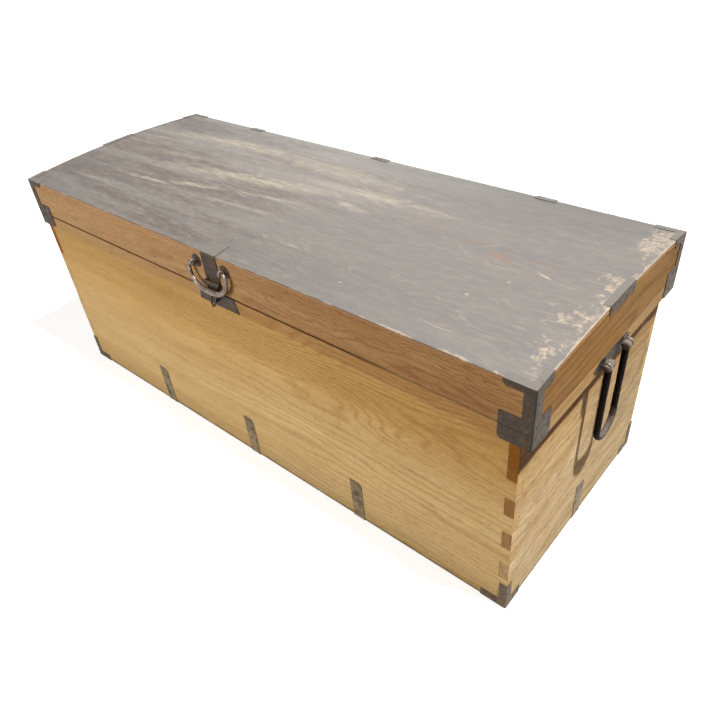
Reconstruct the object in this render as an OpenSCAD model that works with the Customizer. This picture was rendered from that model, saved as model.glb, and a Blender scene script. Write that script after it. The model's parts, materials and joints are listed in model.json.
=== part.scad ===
// Long wooden storage chest with a low arched lid, finger-jointed corners,
// nailed iron corner mounts, a hasp with its bail, and two swinging pole bails.
// Millimetres. X runs along the length, the front faces -Y, Z is up.
// The origin is the middle of the underside.

/* [Box] */
// Outside length of the box walls
box_len = 1479; // [1200:1:1800]
// Outside depth of the box and of the lid
box_depth = 576; // [460:1:720]
// Height of the box from the floor to the lid seam
box_h = 491; // [420:1:620]
// Thickness of the four wall boards
wall_t = 20; // [16:1:26]
// Thickness of the bottom board
floor_t = 14; // [10:1:20]
// Thickness of the batten across the top of each end
batten_t = 18; // [14:1:24]
// Height of the end battens
batten_h = 33; // [32:1:45]

/* [Finger joints] */
// Height of the tall tongue at the top of each end board
top_tongue_h = 120; // [80:1:150]
// Pairs of fingers below the tall tongue
finger_pairs = 4; // [2:1:6]
// Fingers at each corner of the lid frame
lid_fingers = 3; // [3:2:5]

/* [Lid] */
// Height of the lid from the seam to its top edge
lid_edge_h = 94; // [80:1:130]
// Rise of the arched top from its edges to the middle
crown_rise = 14; // [8:1:40]
// Thickness of the lid's frame boards
rim_t = 20; // [16:1:26]
// Thickness of the arched top
panel_t = 8; // [6:0.5:14]
// Thickness of the two ribs under the top
rib_t = 24; // [16:1:40]
// Height of the ribs at their ends
rib_h = 28; // [18:1:40]

/* [Iron sheet] */
// Thickness of the corner irons, straps and plates
iron_t = 1.5; // [1:0.1:3]
// Width of the flanges that turn over onto the lid's top
top_flange = 14; // [8:1:18]

/* [Lid corner irons] */
// Length of the upper arms, from the corner
lid_iron_top_arm = 58; // [40:1:80]
// Height of the upper arms
lid_iron_top_h = 13; // [8:1:18]
// Width of the uprights
lid_iron_post_w = 21; // [14:1:28]
// Length of the lower arms, from the corner
lid_iron_low_arm = 62; // [40:1:80]
// Height of the lower arms
lid_iron_low_h = 29; // [20:1:36]
// Size of the corner clipped off the ends of the arms
lid_iron_clip = 6; // [2:1:6]
// Length of the arms across the ends of the chest, as a share of the front ones
end_arm_share = 0.88; // [0.7:0.01:1]

/* [Box corner irons] */
// Length of the arms of the irons under the seam
top_iron_arm = 62; // [40:1:80]
// Height of the irons under the seam
top_iron_h = 32; // [24:1:32]
// Radius of their lower outer corners
top_iron_round = 9; // [3:1:12]
// Length of the arms of the irons at the base
base_iron_arm = 58; // [40:1:80]
// Height of those arms
base_iron_arm_h = 22; // [14:1:30]
// Width of their uprights
base_iron_post_w = 17; // [12:1:26]
// Height of their uprights
base_iron_post_h = 74; // [50:1:100]

/* [Base straps] */
// Width of the straps on the front and the rear
base_strap_w = 34; // [24:1:44]
// Height of those straps
base_strap_h = 122; // [80:1:140]
// Distance of the outer straps from the middle of the chest
base_strap_x = 355; // [300:1:420]
// Width of the strap on each end
end_strap_w = 34; // [24:1:44]
// Height of the strap on each end
end_strap_h = 106; // [60:1:120]
// Distance of the right end's strap behind the middle; the left end's lies opposite
end_strap_y = 12; // [-40:1:40]
// Slope of the head of the strap on each end
end_strap_slope = 6; // [3:1:12]
// Length that each strap runs under the bottom
strap_under = 70; // [40:1:110]
// Size of the corner clipped off the heads of the long straps
strap_clip = 9; // [4:1:12]

/* [Lid end straps] */
// Length of the strap on the top edge of each lid end
lid_strap_len = 100; // [60:1:160]
// Height of that strap on the lid end
lid_strap_h = 18; // [10:1:30]

/* [Hasp and lock] */
// Width of the hasp's fixed strap
hasp_w = 48; // [40:1:60]
// Thickness of the fixed strap
hasp_t = 2; // [1.5:0.1:3]
// Length of the fixed strap's flange on the lid's top
hasp_flange = 42; // [20:1:60]
// Height of the hasp's knuckle above the seam
hasp_axis_h = 24; // [18:1:34]
// Outer radius of the knuckle
hasp_knuckle_r = 5.5; // [4.5:0.1:7]
// Width of the tongue and of its knuckle
tongue_w = 30; // [24:1:34]
// Width of the tongue where its nose starts
tongue_tip_w = 22; // [20:1:24]
// Width of the nose's blunt point
tongue_point_w = 6; // [4:1:10]
// Length of the tongue from its pin to its tip
tongue_len = 53; // [50:1:62]
// Thickness of the tongue
tongue_t = 2.5; // [2:0.1:3.5]
// Lean of the tongue away from the chest, in degrees
tongue_lean = 12; // [10:1:16]
// Distance from the pin to the middle of the tongue's slot
slot_drop = 38; // [36:1:40]
// Play of the staple in the slot on every side
slot_play = 1.5; // [0.8:0.1:2]
// Length of the lock plate along its lower edge
lock_plate_len = 132; // [100:1:170]
// How much shorter each end of its upper edge is
lock_plate_flare = 9; // [2:1:16]
// Height of the lock plate
lock_plate_h = 35; // [32:1:45]
// Radius of the wire that the staple is bent from
staple_wire_r = 2.5; // [1.8:0.1:2.8]
// Inner radius of the staple's loop
staple_in_r = 4; // [3:0.1:4.4]
// Straight length of the staple's legs outside the plate
staple_leg = 3.5; // [2:0.5:4]

/* [Front bail] */
// Distance of each rosette's middle from the middle of the chest
rosette_x = 46; // [44:1:60]
// Radius of the rosettes
rosette_r = 15.5; // [10:0.5:18]
// Height of the rosettes
rosette_h = 3; // [2:0.5:5]
// Height of the bail's pivots above the seam
bail_axis_h = 65; // [58:1:72]
// Radius of the wire of the ring that holds each end of the bail
ring_wire_r = 1.9; // [1.4:0.1:2.1]
// Radius of the bail's pivots
bail_pin_r = 3.4; // [2.4:0.1:3.6]
// Thickness of the button at the inner end of each pivot
bail_button_t = 2.4; // [1.5:0.1:4]
// Radius of the bend where each arm leaves its pivot
bail_shoulder_r = 10; // [8:0.5:14]
// Drop from the pivots to the middle of the grip
bail_drop = 54; // [46:1:58]
// Half height of the grip at its middle
grip_half_h = 7; // [5:0.1:8]
// Half depth of the grip at its middle
grip_half_d = 5.5; // [4:0.1:6]
// Half thickness of the arms at the pivots
bail_arm_r = 4; // [3.8:0.1:5]
// Squareness of the bail's lower curve, where 2 is an ellipse
bail_square_ratio = 2.5; // [2:0.1:4]
// Lean of the bail away from the chest, in degrees
bail_lean = 7; // [7:0.5:14]

/* [Pole bails] */
// Radius of the bar that each pole bail is forged from
pole_bar_r = 6.5; // [5:0.5:9]
// Distance between the middles of the two legs
pole_leg_gap = 70; // [56:1:90]
// Distance from the pivots to the middle of the bar at the bottom
pole_drop = 198; // [150:1:240]
// Radius of the round boss at the head of each leg
pole_boss_r = 9; // [7:0.5:10]
// Radius of the pivots
pole_pin_r = 4.1; // [3:0.1:4.5]
// Thickness of the button at the outer end of each pivot
pole_button_t = 4; // [2:0.5:6]
// Radius of the eyes' wire
pole_wire_r = 2.6; // [2:0.1:3]
// Height of the pivots above the lower edge of the end batten
pole_axis_up = 17; // [13:1:20]
// Half length of the back plate, to its pointed tips
pole_plate_half = 74; // [68:1:100]
// Height of the back plate
pole_plate_h = 26; // [20:1:30]

/* [Rear hinges] */
// Distance of the outer hinges from the middle of the chest
hinge_x = 463; // [300:1:560]
// Width of the hinge leaves
hinge_w = 48; // [36:1:64]
// Thickness of the leaves
hinge_t = 1.8; // [1.2:0.1:2.4]
// Radius of the knuckles
hinge_knuckle_r = 5; // [4:0.1:6]
// Radius of the hinge and hasp pins
hinge_pin_r = 2; // [1.5:0.1:2.5]
// Width of the middle knuckle
hinge_mid_w = 18; // [12:1:26]
// Length of the lower leaves on the box
hinge_drop = 84; // [50:1:120]

/* [Clearances] */
// Gap between a knuckle and the wood behind it
knuckle_gap = 0.6; // [0.4:0.1:1]
// Gap between neighbouring knuckles along a pin
side_gap = 0.4; // [0.3:0.1:0.8]
// Radial play of a pin in its knuckles
pin_play = 0.06; // [0.04:0.01:0.1]
// Radial play of an iron shank in its hole through the wood
shank_play = 0.3; // [0.2:0.1:0.6]
// Radial play of a bail's pivots in their eyes
eye_play = 0.5; // [0.3:0.1:0.8]
// Gap on each side of an eye of the front bail
bail_side_gap = 2; // [1:0.1:3]
// Gap on each side of an eye of a pole bail
pole_side_gap = 0.8; // [0.5:0.1:2]
// Thickness of the shanks' clinched ends inside the chest
clinch_t = 2; // [1:0.1:3]
// Length of the clinched ends
clinch_len = 20; // [10:1:30]

/* [Hidden] */

oak = "#b8935a";
oak_light = "#c4a270";
end_grain = "#7a4a2c";
lacquer = "#86827d";
iron = "#4a453f";
iron_dark = "#33302d";

$fn = 48;
arch_fn = 720;
cut = 1;

half_depth = box_depth / 2;
half_box = box_len / 2;
half_lid = half_box + batten_t;
edge_z = box_h + lid_edge_h;
arch_r = (pow(half_depth, 2) + pow(crown_rise, 2)) / (2 * crown_rise);
arch_z = edge_z + crown_rise - arch_r;
finger_h = (box_h - top_tongue_h) / (2 * finger_pairs);
lid_finger_h = (lid_edge_h - panel_t) / lid_fingers;
rib_x = half_lid / 3;

pin_bore_r = hinge_pin_r + pin_play;
hinge_axis_y = half_depth + knuckle_gap + hinge_knuckle_r;
hasp_axis_y = -half_depth - knuckle_gap - hasp_knuckle_r;
hasp_axis_z = box_h + hasp_axis_h;
hasp_side_w = (hasp_w - tongue_w) / 2 - side_gap;

ring_r = bail_pin_r + eye_play + ring_wire_r;
ring_out_r = ring_r + ring_wire_r;
bail_axis_y = -half_depth - rosette_h - ring_out_r;
bail_axis_z = box_h + bail_axis_h;
bail_end_x = rosette_x + ring_wire_r + bail_side_gap;
bail_half_w = bail_end_x + bail_shoulder_r;

pole_ring_r = pole_pin_r + eye_play + pole_wire_r;
pole_out_r = pole_ring_r + pole_wire_r;
pole_axis_x = half_lid + iron_t + max(pole_out_r, pole_boss_r + pole_side_gap);
pole_axis_z = box_h - batten_h + pole_axis_up;
pole_leg_y = pole_leg_gap / 2;
pole_eye_y = pole_leg_y + pole_bar_r + pole_wire_r + pole_side_gap;
pole_button_y = pole_eye_y + pole_wire_r + pole_side_gap;
staple_z = hasp_axis_z - slot_drop * cos(tongue_lean);
slot_w = 2 * (staple_wire_r + slot_play);
slot_len = 2 * (staple_in_r + 2 * staple_wire_r + slot_play);

// Extrudes a profile drawn in Y and Z along X, centred
module along_x(len) {
    rotate([90, 0, 90]) linear_extrude(len, center = true) children();
}

// Extrudes a profile drawn in X and Z towards the rear, starting at y = 0
module along_y(len) {
    translate([0, len, 0]) rotate([90, 0, 0]) linear_extrude(len) children();
}

// Board between two corners given as lowest and highest points
module board(low, high) {
    translate(low) cube(high - low);
}

// The band of the arched top between two radii and two depths
module arch_band(in_r, out_r, y0, y1) {
    intersection() {
        translate([0, arch_z]) difference() {
            circle(out_r, $fn = arch_fn);
            circle(in_r, $fn = arch_fn);
        }
        translate([y0, box_h]) square([y1 - y0, lid_edge_h + 2 * crown_rise]);
    }
}

// Everything under the arched top between two depths, down to a height
module under_arch(y0, y1, z0) {
    intersection() {
        translate([0, arch_z]) circle(arch_r - panel_t, $fn = arch_fn);
        translate([y0, z0]) square([y1 - y0, edge_z + crown_rise - z0]);
    }
}

// Heights where the end boards' tongues reach through to the front and the rear
function tongue_low(i) = i == 0 ? box_h - top_tongue_h : box_h - top_tongue_h - 2 * i * finger_h;
function tongue_high(i) = i == 0 ? box_h : tongue_low(i) + finger_h;

// The space of all tongues at both ends of a front or rear board
module tongue_space() {
    for (side = [-1, 1], i = [0 : finger_pairs])
        translate([side * half_box, 0, (tongue_low(i) + tongue_high(i)) / 2])
            cube([2 * wall_t, box_depth + cut, tongue_high(i) - tongue_low(i)], center = true);
}

// Grooves in the underside that take the straps, so that the chest stands flat
module strap_grooves() {
    for (side = [-1, 1]) {
        for (x = [-1, 0, 1] * base_strap_x)
            board([x - base_strap_w / 2, side * half_depth - strap_under, -cut],
                  [x + base_strap_w / 2, side * half_depth + strap_under, iron_t]);
        board([side * half_box - strap_under, side * end_strap_y - end_strap_w / 2, -cut],
              [side * half_box + strap_under, side * end_strap_y + end_strap_w / 2, iron_t]);
    }
}

// Front board of the box; the rear board is its turned copy
module long_board() {
    color(oak) difference() {
        board([-half_box, -half_depth, 0], [half_box, wall_t - half_depth, box_h]);
        tongue_space();
        strap_grooves();
    }
}

// Right end board of the box, with the holes of the pole eyes
module end_board() {
    color(oak_light) difference() {
        union() {
            board([half_box - wall_t, wall_t - half_depth, 0],
                  [half_box, half_depth - wall_t, box_h]);
            intersection() {
                board([half_box - wall_t, -half_depth, 0], [half_box, half_depth, box_h]);
                tongue_space();
            }
        }
        strap_grooves();
        pole_shanks(pole_wire_r + shank_play);
    }
}

// Bottom board, held between the four walls
module bottom_board() {
    color(oak_light) difference() {
        board([wall_t - half_box, wall_t - half_depth, 0],
              [half_box - wall_t, half_depth - wall_t, floor_t]);
        strap_grooves();
    }
}

// Batten across the top of the right end, which carries the pole eyes
module end_batten() {
    color(oak_light) difference() {
        board([half_box, -half_depth, box_h - batten_h], [half_lid, half_depth, box_h]);
        pole_shanks(pole_wire_r + shank_play);
    }
}

// Plate on the front face of the right corner, drawn as [distance from corner, height]
module front_plate(points, x, z) {
    translate([x, -half_depth - iron_t, z]) mirror([1, 0, 0]) along_y(iron_t) polygon(points);
}

// Plate on the right end face at the front corner, drawn the same way
module end_plate(points, x, z) {
    translate([x, -half_depth, z]) rotate([90, 0, 90]) linear_extrude(iron_t) polygon(points);
}

// Outline of a lid corner iron on one face
function lid_iron_outline(top_arm, low_arm, start) = [
    [start, 0], [low_arm, 0], [low_arm, lid_iron_low_h - lid_iron_clip / 2],
    [low_arm - lid_iron_clip / 2, lid_iron_low_h], [lid_iron_post_w, lid_iron_low_h],
    [lid_iron_post_w, lid_edge_h - lid_iron_top_h],
    [top_arm - lid_iron_clip, lid_edge_h - lid_iron_top_h],
    [top_arm, lid_edge_h - lid_iron_top_h + lid_iron_clip], [top_arm, lid_edge_h],
    [start, lid_edge_h]
];

// Corner iron of the lid at the front right, with its flange on the arched top
module lid_iron() {
    top_end = lid_iron_top_arm * end_arm_share;
    low_end = lid_iron_low_arm * end_arm_share;
    color(iron) union() {
        intersection() {
            union() {
                front_plate(lid_iron_outline(lid_iron_top_arm, lid_iron_low_arm, -iron_t),
                            half_lid, box_h);
                end_plate(lid_iron_outline(top_end, low_end, 0), half_lid, box_h);
            }
            board([0, -half_depth - iron_t, box_h], [half_lid + iron_t, 0, edge_z]);
        }
        intersection() {
            along_x(2 * (half_lid + iron_t))
                arch_band(arch_r, arch_r + iron_t, -half_depth - iron_t, 0);
            union() {
                board([half_lid - lid_iron_top_arm, -half_depth - iron_t, box_h],
                      [half_lid + iron_t, top_flange - half_depth, edge_z + crown_rise]);
                board([half_lid - top_flange, -half_depth - iron_t, box_h],
                      [half_lid + iron_t, top_end - half_depth, edge_z + crown_rise]);
            }
        }
        board([half_lid - lid_iron_top_arm, -half_depth - iron_t, edge_z - iron_t],
              [half_lid + iron_t, -half_depth, edge_z + iron_t * 0.9]);
        intersection() {
            translate([half_lid + iron_t / 2, 0, 0]) along_x(iron_t)
                arch_band(arch_r - lid_iron_top_h, arch_r + iron_t, -half_depth, 0);
            board([half_lid, -half_depth, box_h],
                  [half_lid + iron_t, top_end - half_depth, edge_z + crown_rise]);
        }
    }
}

// Flat iron whose lower outer corner is rounded
module rounded_plate_2d(start, len, height, r) {
    translate([start, r - height]) square([len - start, height - r]);
    translate([start, -height]) square([len - start - r, r + cut / 2]);
    translate([len - r, r - height]) circle(r);
}

// Corner iron of the box just under the seam, over the batten's end
module top_iron() {
    color(iron) union() {
        translate([half_lid, -half_depth - iron_t, box_h]) mirror([1, 0, 0]) along_y(iron_t)
            rounded_plate_2d(-iron_t, top_iron_arm, top_iron_h, top_iron_round);
        translate([half_lid, -half_depth, box_h]) rotate([90, 0, 90]) linear_extrude(iron_t)
            rounded_plate_2d(0, top_iron_arm * end_arm_share, top_iron_h, top_iron_round);
    }
}

// Outline of a base corner iron on one face
function base_iron_outline(arm, start) = [
    [start, 0], [arm, 0], [arm, base_iron_arm_h], [base_iron_post_w, base_iron_arm_h],
    [base_iron_post_w, base_iron_post_h], [start, base_iron_post_h]
];

// Corner iron at the foot of the box
module base_iron() {
    color(iron) union() {
        front_plate(base_iron_outline(base_iron_arm, -iron_t), half_box, 0);
        end_plate(base_iron_outline(base_iron_arm * end_arm_share, 0), half_box, 0);
    }
}

// Strap up a wall and under the bottom; face is the wall's distance from the middle
module base_strap(face, w, h, clip, drop) {
    color(iron) union() {
        translate([0, -face - iron_t, 0]) along_y(iron_t)
            polygon([[-w / 2, 0], [w / 2, 0], [w / 2, h - drop],
                     [w / 2 - clip, h], [-w / 2, h]]);
        board([-w / 2, -face - iron_t, 0], [w / 2, strap_under - face, iron_t]);
    }
}

// Strap on the front at a place along its length
module long_strap(x) {
    translate([x, 0, 0])
        base_strap(half_depth, base_strap_w, base_strap_h, strap_clip, strap_clip);
}

// Strap on the right end, whose whole head slopes
module end_strap() {
    translate([0, end_strap_y, 0]) rotate([0, 0, 90])
        base_strap(half_box, end_strap_w, end_strap_h, end_strap_w * 0.8, end_strap_slope);
}

// Plate on the box front that the hasp closes on
module lock_plate() {
    upper = lock_plate_len / 2 - lock_plate_flare;
    color(iron) translate([0, -half_depth - iron_t, box_h]) along_y(iron_t) difference() {
        polygon([[-upper, 0], [upper, 0], [lock_plate_len / 2, -lock_plate_h],
                 [-lock_plate_len / 2, -lock_plate_h]]);
        for (side = [-1, 1])
            translate([0, staple_z - box_h + side * (staple_in_r + staple_wire_r)])
                circle(staple_wire_r + shank_play);
    }
}

// The two legs of the staple, as far as the inside of the front board
module staple_legs(r, start, stop) {
    for (side = [-1, 1])
        translate([0, start, staple_z + side * (staple_in_r + staple_wire_r)])
            rotate([-90, 0, 0]) cylinder(r = r, h = stop - start);
}

// Staple that the slot of the tongue goes over, clinched inside the box
module lock_staple() {
    bend_y = -half_depth - iron_t - staple_leg;
    mid_r = staple_in_r + staple_wire_r;
    color(iron_dark) union() {
        translate([0, bend_y, staple_z]) rotate([0, 90, 0]) rotate([0, 0, 180])
            rotate_extrude(angle = 180) translate([mid_r, 0]) circle(staple_wire_r);
        staple_legs(staple_wire_r, bend_y, wall_t - half_depth + clinch_t);
        board([-staple_wire_r, wall_t - half_depth, staple_z - mid_r - staple_wire_r],
              [clinch_len, wall_t - half_depth + clinch_t, staple_z - mid_r + staple_wire_r]);
        board([-clinch_len, wall_t - half_depth, staple_z + mid_r - staple_wire_r],
              [staple_wire_r, wall_t - half_depth + clinch_t, staple_z + mid_r + staple_wire_r]);
    }
}

// Knuckle along X about an axis, with the bore of its pin
module knuckle(r, w, x) {
    translate([x, 0, 0]) rotate([0, 90, 0]) cylinder(r = r, h = w, center = true);
}

// Lower leaf of a rear hinge: a plate on the box and the two outer knuckles
module lower_leaf() {
    outer_w = (hinge_w - hinge_mid_w) / 2 - side_gap;
    outer_x = (hinge_w - outer_w) / 2;
    stop_z = box_h - hinge_knuckle_r - knuckle_gap;
    color(iron) difference() {
        union() {
            board([-hinge_w / 2, half_depth, box_h - hinge_drop],
                  [hinge_w / 2, half_depth + hinge_t, stop_z]);
            for (side = [-1, 1]) {
                board([side * outer_x - outer_w / 2, half_depth, stop_z - cut],
                      [side * outer_x + outer_w / 2, half_depth + hinge_t, box_h]);
                translate([0, hinge_axis_y, box_h])
                    knuckle(hinge_knuckle_r, outer_w, side * outer_x);
            }
        }
        translate([0, hinge_axis_y, box_h]) knuckle(pin_bore_r, hinge_w + cut, 0);
    }
}

// Upper leaf of a rear hinge: the middle knuckle, a plate on the lid and its flange
module upper_leaf() {
    start_z = box_h + hinge_knuckle_r + knuckle_gap;
    color(iron) difference() {
        union() {
            board([-hinge_w / 2, half_depth, start_z], [hinge_w / 2, half_depth + hinge_t, edge_z]);
            board([-hinge_mid_w / 2, half_depth, box_h],
                  [hinge_mid_w / 2, half_depth + hinge_t, start_z + cut]);
            translate([0, hinge_axis_y, box_h]) knuckle(hinge_knuckle_r, hinge_mid_w, 0);
            along_x(hinge_w)
                arch_band(arch_r, arch_r + hinge_t, half_depth - top_flange, half_depth + hinge_t);
            board([-hinge_w / 2, half_depth, edge_z - hinge_t],
                  [hinge_w / 2, half_depth + hinge_t, edge_z + hinge_t * 0.9]);
        }
        translate([0, hinge_axis_y, box_h]) knuckle(pin_bore_r, hinge_w + cut, 0);
    }
}

// Pins of the three rear hinges
module hinge_pins() {
    color(iron_dark) for (x = [-1, 0, 1] * hinge_x)
        translate([0, hinge_axis_y, box_h]) knuckle(hinge_pin_r, hinge_w, x);
}

// Shanks of the two pole eyes through the batten and the end board
module pole_shanks(r) {
    for (side = [-1, 1])
        translate([half_box - wall_t - clinch_t, side * pole_eye_y, pole_axis_z])
            rotate([0, 90, 0])
                cylinder(r = r, h = pole_axis_x - pole_ring_r - half_box + wall_t + clinch_t);
}

// Back plate of a pole bail, with a point at each end
module pole_plate() {
    shoulder = pole_eye_y + pole_out_r;
    color(iron_dark) translate([half_lid, 0, pole_axis_z]) difference() {
        rotate([90, 0, 90]) linear_extrude(iron_t)
            polygon([[-pole_plate_half, 0], [-shoulder, -pole_plate_h / 2],
                     [shoulder, -pole_plate_h / 2], [pole_plate_half, 0],
                     [shoulder, pole_plate_h / 2], [-shoulder, pole_plate_h / 2]]);
        for (side = [-1, 1])
            translate([-cut, side * pole_eye_y, 0]) rotate([0, 90, 0])
                cylinder(r = pole_wire_r + shank_play, h = iron_t + 2 * cut);
    }
}

// The two eyes of a pole bail, each with its shank clinched inside the box
module pole_eyes() {
    color(iron) union() {
        for (side = [-1, 1]) {
            translate([pole_axis_x, side * pole_eye_y, pole_axis_z]) rotate([90, 0, 0])
                rotate_extrude() translate([pole_ring_r, 0]) circle(pole_wire_r);
            board([half_box - wall_t - clinch_t, side * pole_eye_y - pole_wire_r,
                   pole_axis_z - clinch_len],
                  [half_box - wall_t, side * pole_eye_y + pole_wire_r, pole_axis_z + pole_wire_r]);
        }
        pole_shanks(pole_wire_r);
    }
}

// Pole bail hanging from its two pivots
module pole_bail() {
    bend_z = pole_axis_z - pole_drop + pole_leg_y;
    color(iron_dark) union() {
        for (side = [-1, 1]) {
            translate([pole_axis_x, side * pole_leg_y, bend_z])
                cylinder(r = pole_bar_r, h = pole_axis_z - bend_z);
            translate([pole_axis_x, side * pole_leg_y, pole_axis_z]) rotate([90, 0, 0])
                cylinder(r = pole_boss_r, h = 2 * pole_bar_r, center = true);
            translate([pole_axis_x, side * pole_leg_y, pole_axis_z]) rotate([-90 * side, 0, 0])
                cylinder(r = pole_pin_r, h = pole_button_y + pole_button_t / 2 - pole_leg_y);
            translate([pole_axis_x, side * pole_button_y, pole_axis_z])
                rotate([-90 * side, 0, 0]) cylinder(r = pole_ring_r, h = pole_button_t);
        }
        translate([pole_axis_x, 0, bend_z]) rotate([0, 90, 0]) rotate([0, 0, -90])
            rotate_extrude(angle = 180) translate([pole_leg_y, 0]) circle(pole_bar_r);
    }
}

// Space of the middle fingers at both ends of the lid's front and rear boards
module lid_tongue_space() {
    for (side = [-1, 1], i = [1 : 2 : lid_fingers - 2])
        translate([side * half_lid, 0, box_h + (i + 0.5) * lid_finger_h])
            cube([2 * rim_t, box_depth + cut, lid_finger_h], center = true);
}

// Front board of the lid's frame, with the holes of the bail's eyes
module lid_long_rim() {
    color(oak) difference() {
        along_x(2 * half_lid) under_arch(-half_depth, rim_t - half_depth, box_h);
        lid_tongue_space();
    }
}

module lid_front_rim() {
    difference() {
        lid_long_rim();
        bail_shanks(ring_wire_r + shank_play);
    }
}

// Right end board of the lid's frame, arched to carry the top
module lid_end_rim() {
    color(oak_light) intersection() {
        along_x(2 * half_lid) under_arch(-half_depth, half_depth, box_h);
        board([half_lid - rim_t, -half_depth, box_h], [half_lid, half_depth, edge_z + crown_rise]);
        union() {
            board([0, rim_t - half_depth, box_h],
                  [half_lid, half_depth - rim_t, edge_z + crown_rise]);
            lid_tongue_space();
        }
    }
}

// Arched top of the lid
module lid_top() {
    color(lacquer) along_x(2 * half_lid)
        arch_band(arch_r - panel_t, arch_r, -half_depth, half_depth);
}

// Rib across the underside of the top
module lid_rib(x) {
    color(oak_light) translate([x, 0, 0]) along_x(rib_t)
        under_arch(rim_t - half_depth, half_depth - rim_t, edge_z - panel_t - rib_h);
}

// Strap over the top edge of the lid's right end
module lid_strap() {
    color(iron) union() {
        translate([half_lid + iron_t / 2, 0, 0]) along_x(iron_t)
            arch_band(arch_r - lid_strap_h, arch_r + iron_t, -lid_strap_len / 2, lid_strap_len / 2);
        translate([half_lid + (iron_t - top_flange) / 2, 0, 0]) along_x(top_flange + iron_t)
            arch_band(arch_r, arch_r + iron_t, -lid_strap_len / 2, lid_strap_len / 2);
    }
}

// Fixed strap of the hasp, from its flange on the top down to its knuckles
module hasp_strap() {
    outer_x = (hasp_w - hasp_side_w) / 2;
    stop_z = hasp_axis_z + hasp_knuckle_r + knuckle_gap;
    color(iron) difference() {
        union() {
            board([-hasp_w / 2, -half_depth - hasp_t, stop_z], [hasp_w / 2, -half_depth, edge_z]);
            for (side = [-1, 1]) {
                board([side * outer_x - hasp_side_w / 2, -half_depth - hasp_t, hasp_axis_z],
                      [side * outer_x + hasp_side_w / 2, -half_depth, stop_z + cut]);
                translate([0, hasp_axis_y, hasp_axis_z])
                    knuckle(hasp_knuckle_r, hasp_side_w, side * outer_x);
            }
            along_x(hasp_w)
                arch_band(arch_r, arch_r + hasp_t, -half_depth - hasp_t, hasp_flange - half_depth);
            board([-hasp_w / 2, -half_depth - hasp_t, edge_z - hasp_t],
                  [hasp_w / 2, -half_depth, edge_z + hasp_t * 0.9]);
        }
        translate([0, hasp_axis_y, hasp_axis_z]) knuckle(pin_bore_r, hasp_w + cut, 0);
    }
}

module hasp_pin() {
    color(iron_dark) translate([0, hasp_axis_y, hasp_axis_z]) knuckle(hinge_pin_r, hasp_w, 0);
}

// Tongue of the hasp, drawn hanging and then leant away from the chest
module hasp_tongue() {
    neck = hasp_knuckle_r + 3 * knuckle_gap;
    tip_r = tongue_tip_w / 2;
    color(iron) translate([0, hasp_axis_y, hasp_axis_z]) rotate([-tongue_lean, 0, 0])
        difference() {
            union() {
                knuckle(hasp_knuckle_r, tongue_w, 0);
                translate([0, -tongue_t / 2, 0]) along_y(tongue_t) difference() {
                    polygon([[-tongue_w / 2, 0], [tongue_w / 2, 0], [tongue_w / 2, -neck],
                             [tip_r, tip_r - tongue_len], [tongue_point_w / 2, -tongue_len],
                             [-tongue_point_w / 2, -tongue_len], [-tip_r, tip_r - tongue_len],
                             [-tongue_w / 2, -neck]]);
                    translate([0, -slot_drop]) square([slot_w, slot_len - slot_w], center = true);
                    for (side = [-1, 1])
                        translate([0, side * (slot_len - slot_w) / 2 - slot_drop])
                            circle(slot_w / 2);
                }
            }
            knuckle(pin_bore_r, tongue_w + cut, 0);
        }
}

// Shanks of the two eyes of the front bail through the lid's front board
module bail_shanks(r) {
    for (side = [-1, 1]) bail_shank(side * rosette_x, r);
}

module bail_shank(x, r) {
    translate([x, bail_axis_y + ring_r, bail_axis_z]) rotate([-90, 0, 0])
        cylinder(r = r, h = rim_t - half_depth + clinch_t - bail_axis_y - ring_r);
}

// Domed rosette under an eye
module rosette(x) {
    color(iron_dark) translate([x, -half_depth, bail_axis_z]) rotate([90, 0, 0])
        rotate_extrude()
            polygon([[ring_wire_r + shank_play, 0], [rosette_r, 0], [rosette_r, rosette_h * 0.3],
                     [rosette_r * 0.86, rosette_h * 0.65], [rosette_r * 0.45, rosette_h],
                     [ring_wire_r + shank_play, rosette_h]]);
}

// Eye of the front bail: a ring on a shank that is clinched inside the lid
module bail_eye(x) {
    color(iron_dark) union() {
        translate([x, bail_axis_y, bail_axis_z]) rotate([0, 90, 0])
            rotate_extrude() translate([ring_r, 0]) circle(ring_wire_r);
        bail_shank(x, ring_wire_r);
        board([x - ring_wire_r, rim_t - half_depth, bail_axis_z - clinch_len],
              [x + ring_wire_r, rim_t - half_depth + clinch_t, bail_axis_z + ring_wire_r]);
    }
}

// Centre line of the bail in X and Z below its pivots, from -1 at the left to 1 at the
// right. The shoulders are quarter circles, and the rest is a superellipse.
shoulder_share = 0.2;
function bail_point(s) =
    let (side = sign(s), a = abs(s))
    a > 1 - shoulder_share
        ? let (t = 90 * (a - 1 + shoulder_share) / shoulder_share)
            [side * (bail_end_x + bail_shoulder_r * cos(t)), bail_shoulder_r * (sin(t) - 1)]
        : let (t = 90 * a / (1 - shoulder_share), p = 2 / bail_square_ratio)
            [side * bail_half_w * pow(sin(t), p),
             -bail_shoulder_r - (bail_drop - bail_shoulder_r) * pow(cos(t), p)];

// Half thickness across and along the depth, fullest at the middle of the grip
function bail_fullness(s) = pow(cos(90 * min(1, abs(s) / (1 - shoulder_share))), 1.5);

// Ring of points round the bail's centre line
function bail_ring(s, sides) =
    let (p = bail_point(s), q = bail_point(min(1, s + 0.01)), o = bail_point(max(-1, s - 0.01)),
         along = (q - o) / norm(q - o), across = [-along[1], along[0]],
         a = bail_arm_r + (grip_half_h - bail_arm_r) * bail_fullness(s),
         b = bail_arm_r + (grip_half_d - bail_arm_r) * bail_fullness(s))
    [for (i = [0 : sides - 1]) let (t = 360 * i / sides, c = p + across * a * cos(t))
        [c[0], b * sin(t), c[1]]];

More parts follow.
